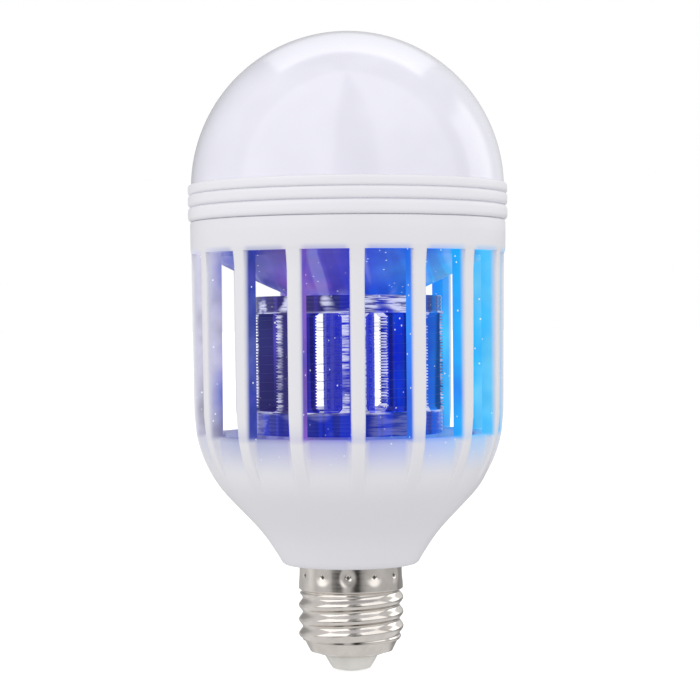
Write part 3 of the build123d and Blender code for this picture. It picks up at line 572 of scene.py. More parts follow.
def former_paint():
    """Clear plastic with the chamber's light painted on: lit in upright shafts and more towards the right,
    painted shade near black elsewhere, teeth with pale frosting that is partly painted highlight, and
    streaked rings with patches of painted highlight.
    """
    paint = Paint("clear_former")
    radius, angle, z = paint.polar()
    across = paint.math("COSINE", paint.times(paint.math("ADD", angle, -fin_angle(0)), float(FIN_COUNT)))
    corner = paint.ramp_to(across, 0.86, 0.98, 1.0, 0.0)
    # Pale tooth edges: rougher frosting, with pale painted highlight on it in broken patches
    outer_edge = paint.rise(radius, FORMER_RADIUS - 0.75, FORMER_RADIUS - 0.35)
    patchy_frost_and_highlight = paint.ramp_to(paint.noise(150.0, 2.0, 0.6), 0.38, 0.6, 0.25, 1.0)
    outer_edge = paint.times(paint.times(outer_edge, corner), patchy_frost_and_highlight)
    inner_edge = paint.fall(radius, FIN_INNER + 0.3, FIN_INNER + 0.7)
    streaks = paint.noise(1.0, 3.0, 0.6, paint.stretched(130.0, 1500.0))
    ring_top, ring_foot = FORMER_FOOT + FORMER_FOOT_RING, FORMER_TOP - FORMER_HEAD_RING
    low_ring = paint.fall(z, ring_top - 0.7, ring_top)
    high_ring = paint.rise(z, ring_foot, ring_foot + 0.6)
    rings = paint.math("MAXIMUM", low_ring, high_ring)
    frost_and_highlight = paint.times(paint.math("MAXIMUM", outer_edge, inner_edge), paint.math("SUBTRACT", 1.0, rings))
    # Patches of painted highlight on the rings, fewer on the lower one
    patches = paint.ramp_to(paint.noise(85.0, 1.0, 0.5), 0.52, 0.58)
    patches = paint.times(patches, paint.times_add(low_ring, -0.85, 1.0))
    frost_and_highlight = paint.math("ADD", frost_and_highlight, paint.times(rings, patches))
    streaked_frost_and_highlight = paint.times(frost_and_highlight, paint.ramp_to(streaks, 0.36, 0.56))
    # Painted light and shade: lit in upright shafts and more towards +X, near black between them; the lower
    # ring lit more and painted deep blue, the upper ring lit less
    shafts = paint.noise(1.0, 1.0, 0.5, paint.stretched(430.0, 7.0))
    lit = paint.ramp_to(paint.times_add(paint.split()[0], 1.2, shafts), 0.46, 0.56)
    lit = paint.times(lit, paint.times_add(high_ring, -0.5, 1.0))
    lit = paint.times_add(low_ring, 0.35, lit, clamp=True)
    glow = glow_nodes(paint, 0.0, DEEP_STOPS)
    glow = paint.mix(paint.times(low_ring, 0.7), glow, linear(6, 44, 186))
    body = paint.mix(lit, paint.mix(0.68, glow, (0.0, 0.0, 0.012, 1.0)), glow)
    # Pale painted highlight over the frosting of the teeth and the patches on the rings
    pale = paint.mix(0.8, glow, linear(228, 230, 252))
    return paint.surface(
        Base_Color=(0.02, 0.02, 0.05, 1.0),
        Roughness=paint.ramp_to(streaked_frost_and_highlight, 0.0, 1.0, 0.08, 0.45),
        Specular_IOR_Level=0.35,
        Emission_Color=paint.mix(streaked_frost_and_highlight, body, pale),
        Emission_Strength=0.95 * paint.chosen.glow,
        Normal=paint.bump(streaks, 0.12, 0.15 * MM),
    )


def nickel_paint():
    """Bright nickel plate with the faint rings of rolling, and painted shade in the punch at the middle of
    each dent.
    """
    paint = Paint("nickel")
    around, z = paint.polar()[1:]
    rings = paint.noise(1.0, 2.0, 0.5, paint.stretched(60.0, 2600.0))
    tone = paint.noise(300.0, 3.0, 0.6)
    plate = paint.mix(paint.ramp_to(tone, 0.3, 0.7), linear(216, 210, 204), linear(226, 220, 214))
    # Painted shade: the plate turns near black in the punch at the middle of each dent
    angle = paint.math("ADD", around, pi / 2 - DENT_START)
    beside = paint.math("COSINE", paint.times(angle, float(DENT_COUNT)))
    beside = paint.times(paint.math("ARCCOSINE", beside), SKIRT_RADIUS * MM / DENT_COUNT)
    above = paint.math("ABSOLUTE", paint.math("SUBTRACT", z, DENT_HEIGHT * MM))
    punch = paint.ramp_to(paint.math("ADD", beside, above), 0.35 * MM, 0.75 * MM, 0.85, 0.0)
    return paint.surface(
        Base_Color=paint.mix(punch, plate, (0.02, 0.018, 0.015, 1.0)),
        Metallic=1.0,
        Roughness=paint.ramp_to(rings, 0.3, 0.7, 0.06, 0.14),
        Normal=paint.bump(rings, 0.03, 0.03 * MM),
    )


def bar_offset(angle):
    """Angle from the middle of the nearest bar, and that middle."""
    middle = (int((angle % (2 * pi)) / BAR_STEP) + 0.5) * BAR_STEP
    return (angle % (2 * pi)) - middle, middle


# Columns of the mesh by their distance from a bar's middle, measured at one radius, and those between bars
BAR_COLUMNS = (0.0, 0.95, 1.25, 1.5, 1.68, 1.8, 1.92, 2.15, 2.55, 3.3)
WINDOW_COLUMNS = 4
REFERENCE_RADIUS = 39.3
# Radius at which the bars begin, and how far under the outer form a point still counts as on it
BARS_FROM = 20
OUTER_SKIN = 0.05


def column_angles():
    """Angles of half a bay from the middle of a bar: over the bar, and over the window beside it."""
    near = [asin(width / REFERENCE_RADIUS) for width in BAR_COLUMNS]
    span = BAR_STEP / 2 - near[-1]
    return near, [near[-1] + span * (index + 1) / WINDOW_COLUMNS for index in range(WINDOW_COLUMNS)]


def cage_outline():
    """Section of the cage's wall: outside from the band down to the neck, then up the inside."""
    rows = [LINTEL - (LINTEL - SILL) * index / WINDOW_ROWS for index in range(WINDOW_ROWS + 1)]
    bowl_top, bowl_foot = SILL - 0.4, NECK + 0.5
    bowl = [bowl_top - (bowl_top - bowl_foot) * (index / BOWL_ROWS) for index in range(BOWL_ROWS + 1)]
    outline = [(BAND_RADIUS - inset, BAND_TOP - drop) for inset, drop in BAND_HEAD]
    outline += [(BAND_RADIUS - inset, LINTEL + rise) for inset, rise in BAND_FOOT]
    outline += [(side_radius(z), z) for z in rows + bowl]
    outline += [(radius, NECK + rise) for radius, rise in NECK_EDGE]
    spigot_end = NECK - SPIGOT_LENGTH
    outline += [(SPIGOT_RADIUS, NECK), (SPIGOT_RADIUS, spigot_end), (SPIGOT_BORE, spigot_end)]
    outline += [(SPIGOT_BORE, NECK + BOWL_INSIDE[0][1])]
    outline += [(radius, NECK + rise) for radius, rise in BOWL_INSIDE]
    outline += [(FLOOR_SEAT_INNER, CHAMBER_FLOOR), (FLOOR_SEAT_OUTER, CHAMBER_FLOOR)]
    outline += [(FLOOR_SEAT_OUTER, SILL - 0.02)]
    outline += [(BAR_INNER, z) for z in reversed(rows)]
    ledge = LINTEL + LEDGE_THICK
    return outline + [(BAR_INNER, ledge), (BAND_BORE, ledge), (BAND_BORE, BAND_TOP)]


def make_cage():
    """A wall spun bay by bay, its windows cut and joined through, its bars rounded and its bowl recessed."""
    near, rest = column_angles()
    half = BAR_STEP / 2
    angles = [half - value for value in reversed(near + rest)] + [half + value for value in (near + rest)[1:]]
    outline = cage_outline()
    cage = draw("cage_shell", outline + [outline[0]])
    select_whole()
    for _ in range(BAR_COUNT):
        for first, second in zip(angles, angles[1:]):
            bpy.ops.mesh.spin(steps=1, angle=second - first, center=(0, 0, 0), axis=(0, 0, 1))
    finish_mesh()
    shape_bars(cage)
    cut_windows(cage)
    smooth_by(cage, 38)
    return cage


def shape_bars(cage):
    """Keep the bars as wide all the way down, round their edges and sink the bowl between them."""
    last = column_angles()[0][-1]
    half = BAR_STEP / 2
    for vertex in cage.data.vertices:
        x, y, z = (value / MM for value in vertex.co)
        radius = hypot(x, y)
        if radius < BARS_FROM or z > LINTEL + CLOSE:
            continue
        offset, middle = bar_offset(atan2(y, x))
        size, sign = abs(offset), 1 if offset >= 0 else -1
        width = REFERENCE_RADIUS * sin(min(size, last))
        edge_here = asin(BAR_COLUMNS[-1] / radius)
        if size <= last:
            new = asin(width / radius)
        else:
            new = edge_here + (size - last) / (half - last) * (half - edge_here)
        outer = side_radius(z)
        if radius > outer - OUTER_SKIN:
            deep = recess(z)
            round_off = min(deep, BAR_ROUND)
            if width <= BAR_HALF:
                flat = BAR_HALF - BAR_ROUND
                lean = max(width - flat, 0) / BAR_ROUND
                drop = round_off * (1 - sqrt(max(1 - lean * lean, 0)))
            else:
                side = min((width - BAR_HALF) / BAR_SHOULDER, 1.0)
                drop = round_off + (deep - round_off) * (1 - (1 - side) ** 2)
            if z > LINTEL - CLOSE:
                drop = 0.0
            radius = outer - drop
        angle = middle + sign * new
        vertex.co = Vector((radius * cos(angle), radius * sin(angle), z)) * MM


def cut_windows(cage):
    """Delete the outer and inner faces of each window and join their rims through the wall."""
    edit(cage)
    bpy.ops.mesh.select_mode(type="FACE")
    close_edit()
    for face in cage.data.polygons:
        centre = face.center / MM
        radius = hypot(centre.x, centre.y)
        offset = bar_offset(atan2(centre.y, centre.x))[0]
        in_window = SILL < centre.z < LINTEL and radius > (BAR_INNER + FLOOR_SEAT_OUTER) / 2
        face.select = in_window and radius * sin(abs(offset)) > BAR_HALF
    open_edit()
    bpy.ops.mesh.delete(type="FACE")
    bpy.ops.mesh.select_mode(type="VERT")
    for bay in range(BAR_COUNT):
        bpy.ops.mesh.select_all(action="DESELECT")
        bpy.ops.mesh.select_non_manifold(
            extend=False, use_wire=False, use_boundary=True, use_multi_face=False, use_non_contiguous=False,
            use_verts=False,
        )
        close_edit()
        vertices = cage.data.vertices
        for edge in cage.data.edges:
            if edge.select:
                middle = (vertices[edge.vertices[0]].co + vertices[edge.vertices[1]].co) / 2
                turn_from_bay = (atan2(middle.y, middle.x) - bay * BAR_STEP + pi) % (2 * pi) - pi
                if abs(turn_from_bay) > BAR_STEP / 2:
                    edge.select = False
        keep = {index for edge in cage.data.edges if edge.select for index in edge.vertices}
        for vertex in vertices:
            vertex.select = vertex.index in keep
        open_edit()
        bpy.ops.mesh.select_mode(type="EDGE")
        bpy.ops.mesh.bridge_edge_loops()
        bpy.ops.mesh.select_mode(type="VERT")
    face_outwards()


class LAMP_OT_cage(bpy.types.Operator):
    """White cage with its band, bars, bowl and neck"""

    bl_idname = "lamp.cage"
    bl_label = "Cage"

    def execute(self, context):
        cage = make_cage()
        seat(cage, moulding_paint(), "white_moulding", "cage_shell")
        return {"FINISHED"}


COLLAR_RIM = COLLAR_TOP - 0.6
DOME_FILLET = 1.4
DOME_SPIGOT_BORE, DOME_SPIGOT = 36.25, 37.85


class LAMP_OT_dome(bpy.types.Operator):
    """Milky dome over the light chips"""

    bl_idname = "lamp.dome"
    bl_label = "Dome"

    def execute(self, context):
        low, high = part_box("diffuser_dome")
        outer = high.x / MM
        centre = high.z / MM - outer
        foot = low.z / MM
        inner = outer - context.scene.lamp_sizes.dome_wall / MM
        start = degrees(asin((COLLAR_RIM - centre) / outer))
        inner_start = degrees(asin((COLLAR_TOP + DOME_FILLET - centre) / inner))
        outline = arc(centre, outer, start, 90, 40)
        outline += arc(centre, inner, 90, inner_start, 36)
        outline += [(DOME_SPIGOT_BORE, COLLAR_TOP), (DOME_SPIGOT_BORE, foot)]
        outline += [(DOME_SPIGOT, foot), (DOME_SPIGOT, COLLAR_RIM)]
        dome = turn("diffuser_dome", outline, 144)
        seat(dome, dome_paint(), "milky_dome", "diffuser_dome")
        return {"FINISHED"}


# Radius and height of the grooves between the collar's ribs, from the band up to its rim
VALLEYS = ((39.05, BAND_TOP), (39.35, BAND_TOP + 3.7), (39.55, BAND_TOP + 6.75), (39.7, COLLAR_RIM))
RIB_SQUARENESS = 4.0
RIB_FULLNESS = 0.55
RIB_STEPS = 12
DOME_SEAT, DOME_SEAT_DEPTH = 38.05, 3.4
PLATE_BORE, WIRE_HOLE = 35.0, 5.0
PLATE_RISE, FLOOR_RISE = 3.5, 2.0
HOUSING_BORE, HOUSING_SKIRT, HOUSING_FOOT_RISE = 35.5, 37.4, 2.2


class LAMP_OT_collar(bpy.types.Operator):
    """Ribbed collar of the housing under the dome"""

    bl_idname = "lamp.collar"
    bl_label = "Collar"

    def execute(self, context):
        crest = reach_of("led_housing")
        outline = [(VALLEYS[0][0], BAND_TOP)]
        for (low_root, low), (high_root, high) in zip(VALLEYS, VALLEYS[1:]):
            for step in range(1, RIB_STEPS):
                lean = 2 * step / RIB_STEPS - 1
                root = low_root if lean < 0 else high_root
                swell = (1 - abs(lean) ** RIB_SQUARENESS) ** RIB_FULLNESS
                outline.append((root + (crest - root) * swell, low + (high - low) * step / RIB_STEPS))
            outline.append((high_root, high))
        seat_z, foot = COLLAR_TOP - DOME_SEAT_DEPTH, LINTEL + HOUSING_FOOT_RISE
        upper, lower = BAND_TOP + PLATE_RISE, BAND_TOP + FLOOR_RISE
        outline += [(DOME_SEAT, COLLAR_RIM), (DOME_SEAT, seat_z), (PLATE_BORE, seat_z), (PLATE_BORE, upper)]
        outline += [(WIRE_HOLE, upper), (WIRE_HOLE, lower), (HOUSING_BORE, lower), (HOUSING_BORE, foot)]
        outline += [(HOUSING_SKIRT, foot), (HOUSING_SKIRT, BAND_TOP)]
        collar = turn("led_housing", outline, 144, 50)
        seat(collar, moulding_paint("white_collar", 1.05), "white_moulding", "led_housing")
        return {"FINISHED"}


CONE_SHEET = 1.3
CONE_LAND = 14.3
CONE_DROP = 2.0
CONE_BEND = 1.06
CONE_LIP = 0.7
CONE_FIT = 0.2
CONE_STEPS = 14
HUB_RADIUS, HUB_BORE, HUB_RISE = 8.2, 6.7, 0.5


class LAMP_OT_ceiling(bpy.types.Operator):
    """Shallow funnel that closes the chamber above the windows"""

    bl_idname = "lamp.ceiling"
    bl_label = "Ceiling"

    def execute(self, context):
        reach, top = reach_of("ceiling_cone"), top_of("ceiling_cone")
        rim, flange = BAR_INNER - CONE_FIT, LINTEL + LEDGE_THICK
        rim_z = flange - CONE_DROP
        hub_top = top_of("uv_tube") + HUB_RISE
        inner = FORMER_TOP + CONE_SHEET
        outline = [(reach, flange), (reach, top), (rim - CONE_SHEET, top)]
        outline += [(rim - CONE_SHEET, rim_z + CONE_LIP), (CONE_LAND, inner), (HUB_RADIUS, inner)]
        outline += [(HUB_RADIUS, hub_top), (HUB_BORE, hub_top), (HUB_BORE, FORMER_TOP)]
        for share in (index / CONE_STEPS for index in range(CONE_STEPS + 1)):
            height = FORMER_TOP + (rim_z - FORMER_TOP) * share**CONE_BEND
            outline.append((CONE_LAND + (rim - CONE_LAND) * share, height))
        outline.append((rim, flange))
        cone = turn("ceiling_cone", outline, 96, 40)
        seat(cone, reflector_paint("ceiling_glow"), "reflector", "ceiling_cone")
        return {"FINISHED"}


FIN_COUNT = 8
FIN_STEP = 2 * pi / FIN_COUNT
FIN_HALF = 2.9
FIN_CORNER = 1.3
FIN_INNER = 15.0
FORMER_BORE = 13.0
FORMER_FOOT_RING = 5.9
FORMER_HEAD_RING = 4.3
TOOTH_DEPTH = 0.6
# One notch of the comb as height and share of the depth, drawn for one pitch
NOTCH = ((-0.26, 0.0), (-0.1, 1.0), (0.1, 1.0), (0.26, 0.0))
NOTCH_PITCH = 0.73
# How far a fin runs into each ring, its plain ends beside them, and the least room from a notch to each
FIN_SINK = 0.4
FIN_PLAIN_FOOT, FIN_PLAIN_HEAD = 0.15, 0.1
NOTCH_ROOM_FOOT, NOTCH_ROOM_HEAD = 0.8, 0.6
RING_EDGE = 0.25
# One groove round a ring as height and depth, the room that each takes, and the plain edge beside them
GROOVE = ((-0.22, 0.0), (-0.1, 0.16), (0.1, 0.16), (0.22, 0.0))
GROOVE_STEP = 0.8
GROOVE_MARGIN = 0.6


def turn_round(piece, angle):
    """Turn the whole of a piece about the lamp's axis."""
    edit(piece)
    select_whole()
    bpy.ops.transform.rotate(value=-angle, orient_axis="Z", orient_type="GLOBAL", center_override=(0, 0, 0))
    close_edit()


def fin_angle(index):
    """Angle of a fin from +X, each behind every second bar."""
    return BAR_STEP / 2 + FIN_STEP * index - pi / 2


def crossing(index, turn_number):
    """Height at which the wire crosses a fin."""
    return FORMER_FOOT + FORMER_FOOT_RING + COIL_PITCH * (0.5 + turn_number + index / FIN_COUNT)


def make_fin(index, pitch):
    """One fin: a toothed edge drawn upwards, extruded inwards, then across, and flared into the rings."""
    foot, head = FORMER_FOOT + FORMER_FOOT_RING, FORMER_TOP - FORMER_HEAD_RING
    levels = [(FORMER_RADIUS, foot - FIN_SINK), (FORMER_RADIUS, foot + FIN_PLAIN_FOOT)]
    notch = crossing(index, 0)
    while notch - pitch > foot + NOTCH_ROOM_FOOT:
        notch -= pitch
    while notch < head - NOTCH_ROOM_HEAD:
        for shift, deep in NOTCH:
            levels.append((FORMER_RADIUS - TOOTH_DEPTH * deep, notch + shift * pitch / NOTCH_PITCH))
        notch += pitch
    levels += [(FORMER_RADIUS, head - FIN_PLAIN_HEAD), (FORMER_RADIUS, head + FIN_SINK)]
    fin = draw(f"fin_{index}", levels)
    select_whole()
    inwards = ((FIN_INNER - FORMER_RADIUS) * MM, 0, 0)
    bpy.ops.mesh.extrude_edges_move(TRANSFORM_OT_translate={"value": inwards})
    close_edit()
    middle = (FORMER_RADIUS + FIN_INNER) / 2
    for vertex in fin.data.vertices:
        if vertex.co.x / MM < middle:
            vertex.co.x = 2 * FIN_INNER * MM - vertex.co.x
    open_edit()
    select_whole()
    bpy.ops.mesh.extrude_region_move(TRANSFORM_OT_translate={"value": (0, 2 * FIN_HALF * MM, 0)})
    close_edit()
    for vertex in fin.data.vertices:
        height = vertex.co.z / MM
        gap = max(min(height - foot, head - height), 0)
        lean = max(1 - gap / FIN_CORNER, 0)
        flare = FIN_HALF + FIN_CORNER * (1 - sqrt(max(1 - lean * lean, 0)))
        vertex.co.y = flare * MM * (1 if vertex.co.y > FIN_HALF * MM else -1)
    turn_round(fin, fin_angle(index))
    return fin


def ring(name, low, high):
    """One of the former's two rings, with eased edges and shallow grooves round it."""
    edge = FORMER_RADIUS - RING_EDGE
    outline = [(FORMER_BORE, low), (edge, low), (FORMER_RADIUS, low + RING_EDGE)]
    room = high - low - 2 * GROOVE_MARGIN
    grooves = int(room / GROOVE_STEP)
    for index in range(grooves):
        middle = low + GROOVE_MARGIN + (index + 0.5) * room / grooves
        outline += [(FORMER_RADIUS - deep, middle + shift) for shift, deep in GROOVE]
    outline += [(FORMER_RADIUS, high - RING_EDGE), (edge, high), (FORMER_BORE, high)]
    return turn(name, outline, 96, 30)


def join(name, pieces):
    """Several pieces as one."""
    deselect()
    for piece in pieces:
        piece.select_set(True)
    bpy.context.view_layer.objects.active = pieces[0]
    bpy.ops.object.join()
    joined = bpy.context.object
    joined.name = name
    joined.data.name = name
    return joined


class LAMP_OT_former(bpy.types.Operator):
    """Clear comb frame that carries the two coils"""

    bl_idname = "lamp.former"
    bl_label = "Former"

    def execute(self, context):
        pitch = context.scene.lamp_sizes.comb_pitch / MM
        fins = [make_fin(index, pitch) for index in range(FIN_COUNT)]
        foot_ring = ring("foot_ring", FORMER_FOOT, FORMER_FOOT + FORMER_FOOT_RING)
        head_ring = ring("head_ring", FORMER_TOP - FORMER_HEAD_RING, FORMER_TOP)
        former = join("grid_former", [foot_ring, head_ring] + fins)
        edit(former)
        face_outwards()
        smooth_by(former, 30)
        seat(former, former_paint(), "clear_former", "grid_former")
        return {"FINISHED"}


def make_coil(node, reach, thick):
    """Bare wire drawn over the fins, straight across each and climbing from one to the next."""
    points = []
    for turn_number in range(COIL_TURNS):
        for index in range(FIN_COUNT):
            height = crossing(index, turn_number)
            for side in (-1, 1):
                place = Matrix.Rotation(fin_angle(index), 4, "Z") @ Vector((reach, side * FIN_HALF, 0))
                points.append((place.x, place.y, height))
    wire = trace(node, points)
    close_edit()
    bpy.ops.object.convert(target="CURVE")
    wire = bpy.context.object
    wire.data.bevel_depth = thick / 2
    wire.data.bevel_resolution = 1
    wire.data.use_fill_caps = True
    bpy.ops.object.convert(target="MESH")
    wire = bpy.context.object
    smooth_by(wire, 60)
    return wire


class LAMP_OT_coils(bpy.types.Operator):
    """Two bare coils in the notches of the former"""

    bl_idname = "lamp.coils"
    bl_label = "Coils"

    def execute(self, context):
        thick = context.scene.lamp_sizes.wire
        # The bare steel is tinted violet blue: the chamber's light painted into the wire's colour
        steel = plain_paint("coil_steel", linear(92, 100, 186), 0.35, metallic=1.0, grain=2500.0, bump=0.03)
        outer = FORMER_RADIUS - TOOTH_DEPTH + thick / MM / 2
        inner = FIN_INNER + TOOTH_DEPTH - thick / MM / 2
        for node, reach in (("grid_wire_outer", outer), ("grid_wire_inner", inner)):
            wire = make_coil(node, reach, thick)
            seat(wire, steel, "steel", node)
        return {"FINISHED"}


THREAD_ROOT = 12.25
THREAD_DEPTH = 1.0
THREAD_CREST = 11.07
THREAD_FOOT, THREAD_HEAD = 7.9, 20.2
SKIRT_FOOT = 20.9
SKIRT_RADIUS = 13.2
SKIRT_TAPER = 0.22
SHELL_WALL = 0.3
# Radius and height of the cap's nose, from the insulator up to the thread, and of its inner side back down
NOSE = (
    (6.9, 3.9), (8.3, 4.35), (9.5, 4.85), (10.25, 5.35), (10.65, 5.9), (10.95, 6.6), (11.2, 7.35),
    (11.6, 7.65),
)
NOSE_INSIDE = ((10.4, 5.0), (6.9, 4.25))
# Radius and drop below the skirt's foot of the step between the thread and the skirt
SKIRT_STEP = ((THREAD_ROOT + 0.12, 0.5), (12.8, 0.32), (13.1, 0.14))
THREAD_ROWS, SKIRT_ROWS = 66, 24
THREAD_FULLNESS = 0.85
# Heights over which the thread starts at its foot and dies out at its head
THREAD_RUN_IN, THREAD_RUN_OUT = 0.9, 0.7
SKIRT_HEM = 0.2
DENT_COUNT = 12
DENT_HEIGHT = 24.6
# Radius and depth of the shallow dish round each punch, and of the punch
DENT_DISH = (2.7, 0.18)
DENT_PUNCH = (0.6, 0.5)
DENT_START = radians(5.0)


class LAMP_OT_cap(bpy.types.Operator):
    """Rolled screw cap: rounded nose, knuckle thread and a skirt with a ring of dents"""

    bl_idname = "lamp.cap"
    bl_label = "Cap"

    def execute(self, context):
        pitch = context.scene.lamp_sizes.thread_pitch / MM
        outline = list(NOSE)
        for index in range(THREAD_ROWS + 1):
            outline.append((THREAD_ROOT, THREAD_FOOT + (THREAD_HEAD - THREAD_FOOT) * index / THREAD_ROWS))
        outline += [(radius, SKIRT_FOOT - drop) for radius, drop in SKIRT_STEP]
        tall = NECK - SKIRT_FOOT
        for index in range(SKIRT_ROWS + 1):
            radius = SKIRT_RADIUS - SKIRT_TAPER * index / SKIRT_ROWS
            outline.append((radius, SKIRT_FOOT + tall * index / SKIRT_ROWS))
        bore = THREAD_ROOT - SHELL_WALL
        top_radius = SKIRT_RADIUS - SKIRT_TAPER
        shoulder = SKIRT_FOOT + SHELL_WALL
        outline += [(top_radius - SKIRT_HEM, NECK), (SKIRT_RADIUS - SHELL_WALL, shoulder)]
        outline += [(bore, THREAD_HEAD), (bore, THREAD_FOOT + SKIRT_HEM)] + list(NOSE_INSIDE)
        cap = turn("screw_shell", outline, 240, 50)
        for vertex in cap.data.vertices:
            x, y, z = (value / MM for value in vertex.co)
            radius, angle = hypot(x, y), atan2(y, x)
            if radius < THREAD_ROOT - CLOSE:
                continue
            if THREAD_FOOT <= z <= THREAD_HEAD + CLOSE:
                crest = THREAD_CREST + pitch * angle / (2 * pi)
                wave = 0.5 * (1 + cos(2 * pi * (z - crest) / pitch))
                fade = smooth_step((z - THREAD_FOOT) / THREAD_RUN_IN)
                fade *= smooth_step((THREAD_HEAD - z) / THREAD_RUN_OUT)
                radius += THREAD_DEPTH * wave**THREAD_FULLNESS * fade
            elif shoulder < z < NECK - CLOSE and radius > top_radius - CLOSE:
                step = 2 * pi / DENT_COUNT
                off = (angle + pi / 2 - DENT_START + step / 2) % step - step / 2
                away = hypot(off * SKIRT_RADIUS, z - DENT_HEIGHT)
                for size, deep in (DENT_DISH, DENT_PUNCH):
                    radius -= deep * smooth_step(1 - away / size)
            vertex.co = Vector((radius * cos(angle), radius * sin(angle), z)) * MM
        seat(cap, nickel_paint(), "nickel", "screw_shell")
        return {"FINISHED"}


# Radius and height of the plug and of the contact rivet that it holds
PLUG = (
    (1.4, 0.5), (4.5, 0.5), (4.8, 0.62), (4.98, 0.9), (5.5, 1.64), (5.95, 2.4), (6.35, 3.15), (6.8, 3.9),
    (6.8, 4.7), (8.2, 5.6), (9.35, 7.3), (1.4, 7.3),
)
RIVET = (
    (0.0, 0.0), (1.6, 0.02), (2.4, 0.06), (2.95, 0.18), (3.3, 0.36), (3.4, 0.5), (1.4, 0.5), (1.4, 7.6),
    (0.0, 7.6),
)


class LAMP_OT_insulator(bpy.types.Operator):
    """Plug at the end of the cap and its contact rivet"""

    bl_idname = "lamp.insulator"
    bl_label = "Insulator and contact"

    def execute(self, context):
        plug = turn("cap_insulator", PLUG, 96, 35)
        ceramic = plain_paint("insulator", linear(228, 225, 219), 0.3, grain=700.0, bump=0.08)
        seat(plug, ceramic, "insulator", "cap_insulator")
        rivet = turn("centre_contact", RIVET, 72, 40)
        solder = plain_paint("solder", linear(188, 188, 184), 0.3, metallic=1.0, grain=500.0, bump=0.3)
        seat(rivet, solder, "solder", "centre_contact")
        return {"FINISHED"}


# Finishes of the pieces that keep their solids: name, screen colour, roughness, what else is set, and nodes
PLAIN_PARTS = (
    ("board_green", (40, 110, 62), 0.35, {"grain": 700.0}, "driver_board"),
    ("board_metal", (214, 216, 218), 0.3, {"metallic": 0.6}, "led_plate"),
    ("screw_steel", (178, 180, 184), 0.25, {"metallic": 1.0, "grain": 1500.0}, "led_plate_screws",
     "floor_screws"),
    ("dark_part", (38, 38, 42), 0.4, {}, "smoothing_capacitor", "bridge_rectifier", "multiplier_diodes",
     "step_up_transformer"),
    ("brown_part", (150, 84, 40), 0.35, {}, "film_capacitors", "fuse_resistor"),
    ("red_wire", (176, 34, 30), 0.4, {}, "live_lead", "grid_leads"),
    ("black_wire", (30, 30, 32), 0.4, {}, "neutral_lead", "led_leads"),
    ("chip_yellow", (236, 206, 96), 0.35, {}, "led_chips"),
    ("strip_white", (225, 226, 230), 0.4, {}, "uv_board"),
)


class LAMP_OT_finishes(bpy.types.Operator):
    """Finishes for the pieces that keep their solids"""

    bl_idname = "lamp.finishes"
    bl_label = "Finishes"

    def execute(self, context):
        plan = [
            (plain_paint(name, linear(*screen), rough, **extra), nodes)
            for name, screen, rough, extra, *nodes in PLAIN_PARTS
        ]
        plan.append((reflector_paint("floor_glow", 0.38), ["chamber_floor"]))
        plan.append((lit_paint("tube_glow", 0.08, 0.0, 0.85), ["uv_tube"]))
        plan.append((lit_paint("uv_chip_glow", 0.3, -0.3, 1.4), ["uv_leds"]))
        for material, names in plan:
            for name in names:
                for slot in NODES[name].material_slots:
                    slot.material = material
        return {"FINISHED"}


class LAMP_OT_stage(bpy.types.Operator):
    """Camera, floor and studio"""

    bl_idname = "lamp.stage"
    bl_label = "Stage"

    def execute(self, context):
        make_camera()
        make_floor()
        make_studio()
        return {"FINISHED"}


CAMERA_DISTANCE = 0.55
CAMERA_HEIGHT = 0.08725
CAMERA_LENS = 111.8
CAMERA_PITCH = radians(-0.66)
CAMERA_YAW = radians(-0.03)
CAMERA_ROLL = radians(-0.5)


def make_camera():
    """Camera at the photograph's angle, almost level with the middle of the cage."""
    deselect()
    bpy.ops.object.camera_add(location=(0, 0, 0))
    camera = bpy.context.object
    camera.name = "camera"
    camera.data.lens = CAMERA_LENS
    camera.data.sensor_width = 36
    camera.data.clip_start = 0.01
    place = Vector((CAMERA_DISTANCE * sin(VIEW_AZIMUTH), -CAMERA_DISTANCE * cos(VIEW_AZIMUTH), CAMERA_HEIGHT))
    aim = Matrix.Rotation(VIEW_AZIMUTH + CAMERA_YAW, 4, "Z") @ Matrix.Rotation(pi / 2 + CAMERA_PITCH, 4, "X")
    camera.matrix_world = Matrix.Translation(place) @ aim @ Matrix.Rotation(CAMERA_ROLL, 4, "Z")
    bpy.context.scene.camera = camera


def make_floor():
    """Pale floor that the lamp's end just touches, bright enough to read as plain white."""
    deselect()
    bpy.ops.mesh.primitive_plane_add(size=60.0, location=(0, 0, 0))
    floor = bpy.context.object
    floor.name = "floor"
    paint = Paint("floor_white")
    finish_with(
        floor,
        paint.surface(
            Base_Color=(0.5, 0.5, 0.5, 1.0),
            Roughness=0.9,
            Specular_IOR_Level=0.0,
            Emission_Color=(1.0, 1.0, 1.0, 1.0),
            Emission_Strength=0.72,
        ),
    )
    floor.visible_diffuse = False
    floor.visible_glossy = False


# What the gloss mirrors, by degrees from the camera towards its right hand: soft boxes with darker gaps
# between, above the level of the floor and below it
UPPER_BOXES = (
    (-180, 0.5), (-156, 0.32), (-138, 0.4), (-118, 0.7), (-84, 0.75), (-79, 1.5), (-12, 1.5), (-7, 0.4),
    (8, 0.3), (15, 0.6), (20, 0.6), (25, 1.4), (82, 1.3), (90, 0.65), (145, 0.85), (180, 0.5),
)
LOWER_BOXES = (
    (-180, 0.45), (-130, 0.6), (-100, 0.85), (-84, 0.64), (-60, 0.66), (-46, 0.52), (-40, 0.24), (-30, 0.12),
    (-21, 0.16), (-14, 0.62), (-4, 0.58), (3, 0.24), (9, 0.05), (17, 0.05), (25, 0.3), (36, 0.5), (60, 0.6),
    (90, 0.56), (120, 0.52), (128, 0.3), (158, 0.34), (180, 0.45),
)
